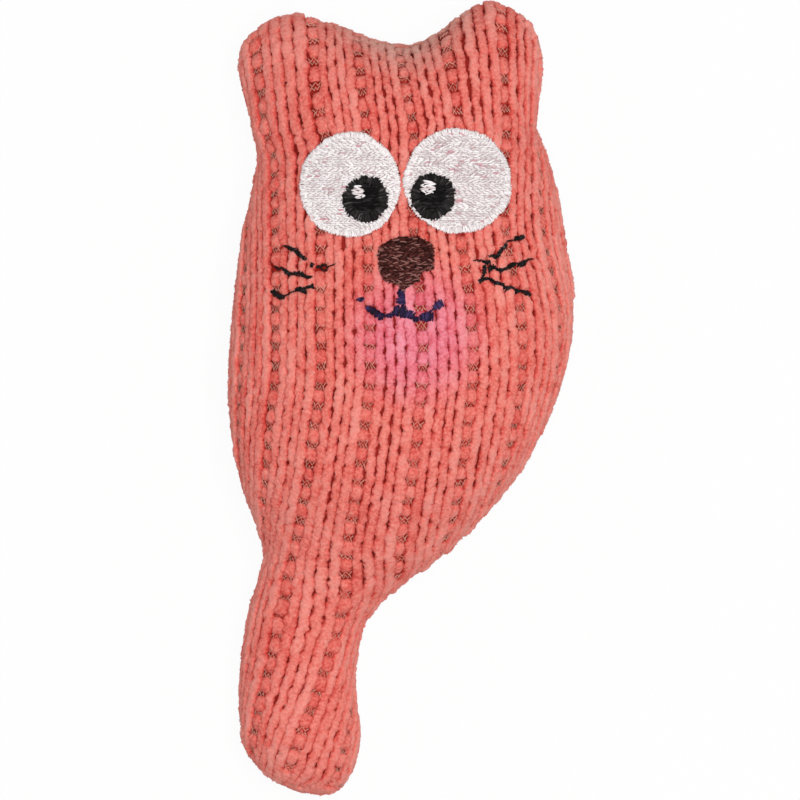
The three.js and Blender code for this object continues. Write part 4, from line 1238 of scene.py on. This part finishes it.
def sew_runs(threads, rng, runs, lift, reach):
    """Satin stitches across each run, which reach over shares of its width."""
    for run in runs:
        points, widths = from_photo(run)
        path = curve(points, LINE_STEPS)
        steps = np.linspace(0, len(points) - 1, len(path))
        widths = np.interp(steps, np.arange(len(points)), widths)
        length = lengths(path)
        values = np.column_stack([path, unit(np.gradient(path, axis=0)), widths])
        for row in at_lengths(np.arange(0, length[-1], LINE_SPACING), length, values):
            at, way, width = row[:2], row[2:4], row[4]
            across = np.array([-way[1], way[0]]) * width / 2 * rng.uniform(*reach)
            lean = way * rng.uniform(*LINE_LEAN)
            radius = np.clip(LINE_RADIUS * width, *LINE_RADII)
            stitch(threads, at - across - lean, at + across + lean, lift, rng, radius, LINE_DIP)


def make_lines(rng):
    mouth = Strands(THREAD, cell_rows=8)
    sew_runs(mouth, rng, MOUTH_RUNS, MOUTH_LIFT, MOUTH_REACH)
    pieces = [(mouth.build("mouth_stitches", PLUM), "mouth")]
    for name, runs in WHISKER_RUNS.items():
        threads = Strands(THREAD, cell_rows=4)
        sew_runs(threads, rng, runs, WHISKER_LIFT, WHISKER_REACH)
        pieces.append((threads.build(f"{name}_stitches", BLACK), name))
    return pieces


# Inside pieces keep their shape and take a cloth of their own
SLOTS = {subpart["node"]: subpart["material_slot"] for subpart in frame["record"]["subparts"]}


def dress_inner_nodes():
    cloths = {slot: inner_cloth_material(slot, *look) for slot, look in INNER_CLOTH.items()}
    cloths["seam_thread"] = SEAM
    for node, slot in SLOTS.items():
        if slot in cloths:
            materials = frame["nodes"][node].data.materials
            materials.clear()
            materials.append(cloths[slot])


# Scene: places of the stage and lamp are in metres
FLOOR_REACH = 12.0
FLOOR_COLOUR = (0.8, 0.8, 0.8, 1)
FLOOR_WHITENESS = 0.95
WORLD_STRENGTH = 0.42
LAMP_PLACE = (0.12, 0.02, 1.1)
LAMP_AIM = (0, 0, 0.02)
LAMP_SIZE = 0.4
LAMP_POWER = 8.8


def make_camera():
    data = bpy.data.cameras.new("camera")
    data.lens = LENS
    data.sensor_width = SENSOR
    camera = add_object("camera", data)
    distance = FRAME_WIDTH * LENS / SENSOR
    camera.location = (FRAME_X * MM, FRAME_Y * MM, (OUTLINE_HEIGHT + distance) * MM)
    bpy.context.scene.camera = camera


def seen_directly(tree):
    """1 for rays from the camera, off a mirror or through glass."""
    rays = add_node(tree, "LightPath", {}).outputs
    shiny = math_node(tree, "MAXIMUM", rays["Is Glossy Ray"], rays["Is Transmission Ray"])
    return math_node(tree, "MAXIMUM", rays["Is Camera Ray"], shiny)


def blend_surfaces(tree, share, first, second, output):
    """Show the first surface, and the second one by a share."""
    blend = add_node(tree, "MixShader", {"Fac": share, 1: first.outputs[0], 2: second.outputs[0]})
    tree.links.new(blend.outputs[0], tree.nodes[output].inputs["Surface"])


def make_floor():
    mesh = bpy.data.meshes.new("floor")
    corners = [(x * FLOOR_REACH, y * FLOOR_REACH, 0) for x, y in ((-1, -1), (1, -1), (1, 1), (-1, 1))]
    mesh.from_pydata(corners, [], [(0, 1, 2, 3)])
    material, tree, shader = new_material("floor", 1.0, 0.0, 0.5)
    shader.inputs["Base Color"].default_value = FLOOR_COLOUR
    glow = add_node(tree, "Emission", {})
    white = math_node(tree, "MULTIPLY", seen_directly(tree), FLOOR_WHITENESS)
    blend_surfaces(tree, white, shader, glow, "Material Output")
    mesh.materials.append(material)
    floor = add_object("floor", mesh)
    floor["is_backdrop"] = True


def make_light():
    world = bpy.data.worlds.new("studio")
    world.use_nodes = True
    tree = world.node_tree
    light = tree.nodes["Background"]
    light.inputs["Color"].default_value = (1, 1, 1, 1)
    light.inputs["Strength"].default_value = WORLD_STRENGTH
    white = add_node(tree, "Background", {"Color": (1, 1, 1, 1)})
    blend_surfaces(tree, seen_directly(tree), light, white, "World Output")
    bpy.context.scene.world = world
    lamp = bpy.data.lights.new("softbox", "AREA")
    lamp.size = LAMP_SIZE
    lamp.energy = LAMP_POWER
    softbox = add_object("softbox", lamp)
    softbox.location = LAMP_PLACE
    aim = np.array(LAMP_AIM) - np.array(LAMP_PLACE)
    yaw, tilt = math.atan2(aim[1], aim[0]), math.acos(-aim[2] / np.linalg.norm(aim))
    softbox.rotation_euler = (0, -tilt, yaw)


PANELS = ["front_panel", "back_panel", "tail_front_panel", "tail_back_panel"]


def bends(piece, slot):
    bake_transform(piece)


# Inside pieces round the tail's root, which are copied out of their nodes and shown in place of them
SOFT_NODES = ["belly_fill", "tail_fill", "seam_thread", "closing_thread", "tail_seam_thread"]


def soften_inner_nodes():
    for name in SOFT_NODES:
        node = frame["nodes"][name]
        mesh = node.data.copy()
        mesh.transform(node.matrix_world)
        piece = add_object(f"soft_{name}", mesh)
        bends(piece, SLOTS[name])
        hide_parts(name)


make_camera()
make_floor()
make_light()
dress_inner_nodes()
soften_inner_nodes()
ground = lay_ground()
bends(ground, "coral_chenille")
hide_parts(*PANELS)
for side, line, name, seed in ((1, FRONT_LINE, "front", 11), (-1, BACK_LINE, "back", 23)):
    for knit_piece in lay_knit(side, line, name, seed):
        bends(knit_piece, "coral_chenille")
face_rng = np.random.default_rng(FACE_SEED)
face_pieces = make_eye("left", face_rng) + make_eye("right", face_rng)
face_pieces += make_nose(face_rng) + make_lines(face_rng)
for face_piece, node in face_pieces:
    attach(face_piece, "body")
    if node:
        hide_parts(node)

bpy.context.scene.view_settings.view_transform = "Standard"
boxes = {"cad": CAD_BOX, "visual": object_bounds()}
{name: [list(corner) for corner in box] for name, box in boxes.items()}
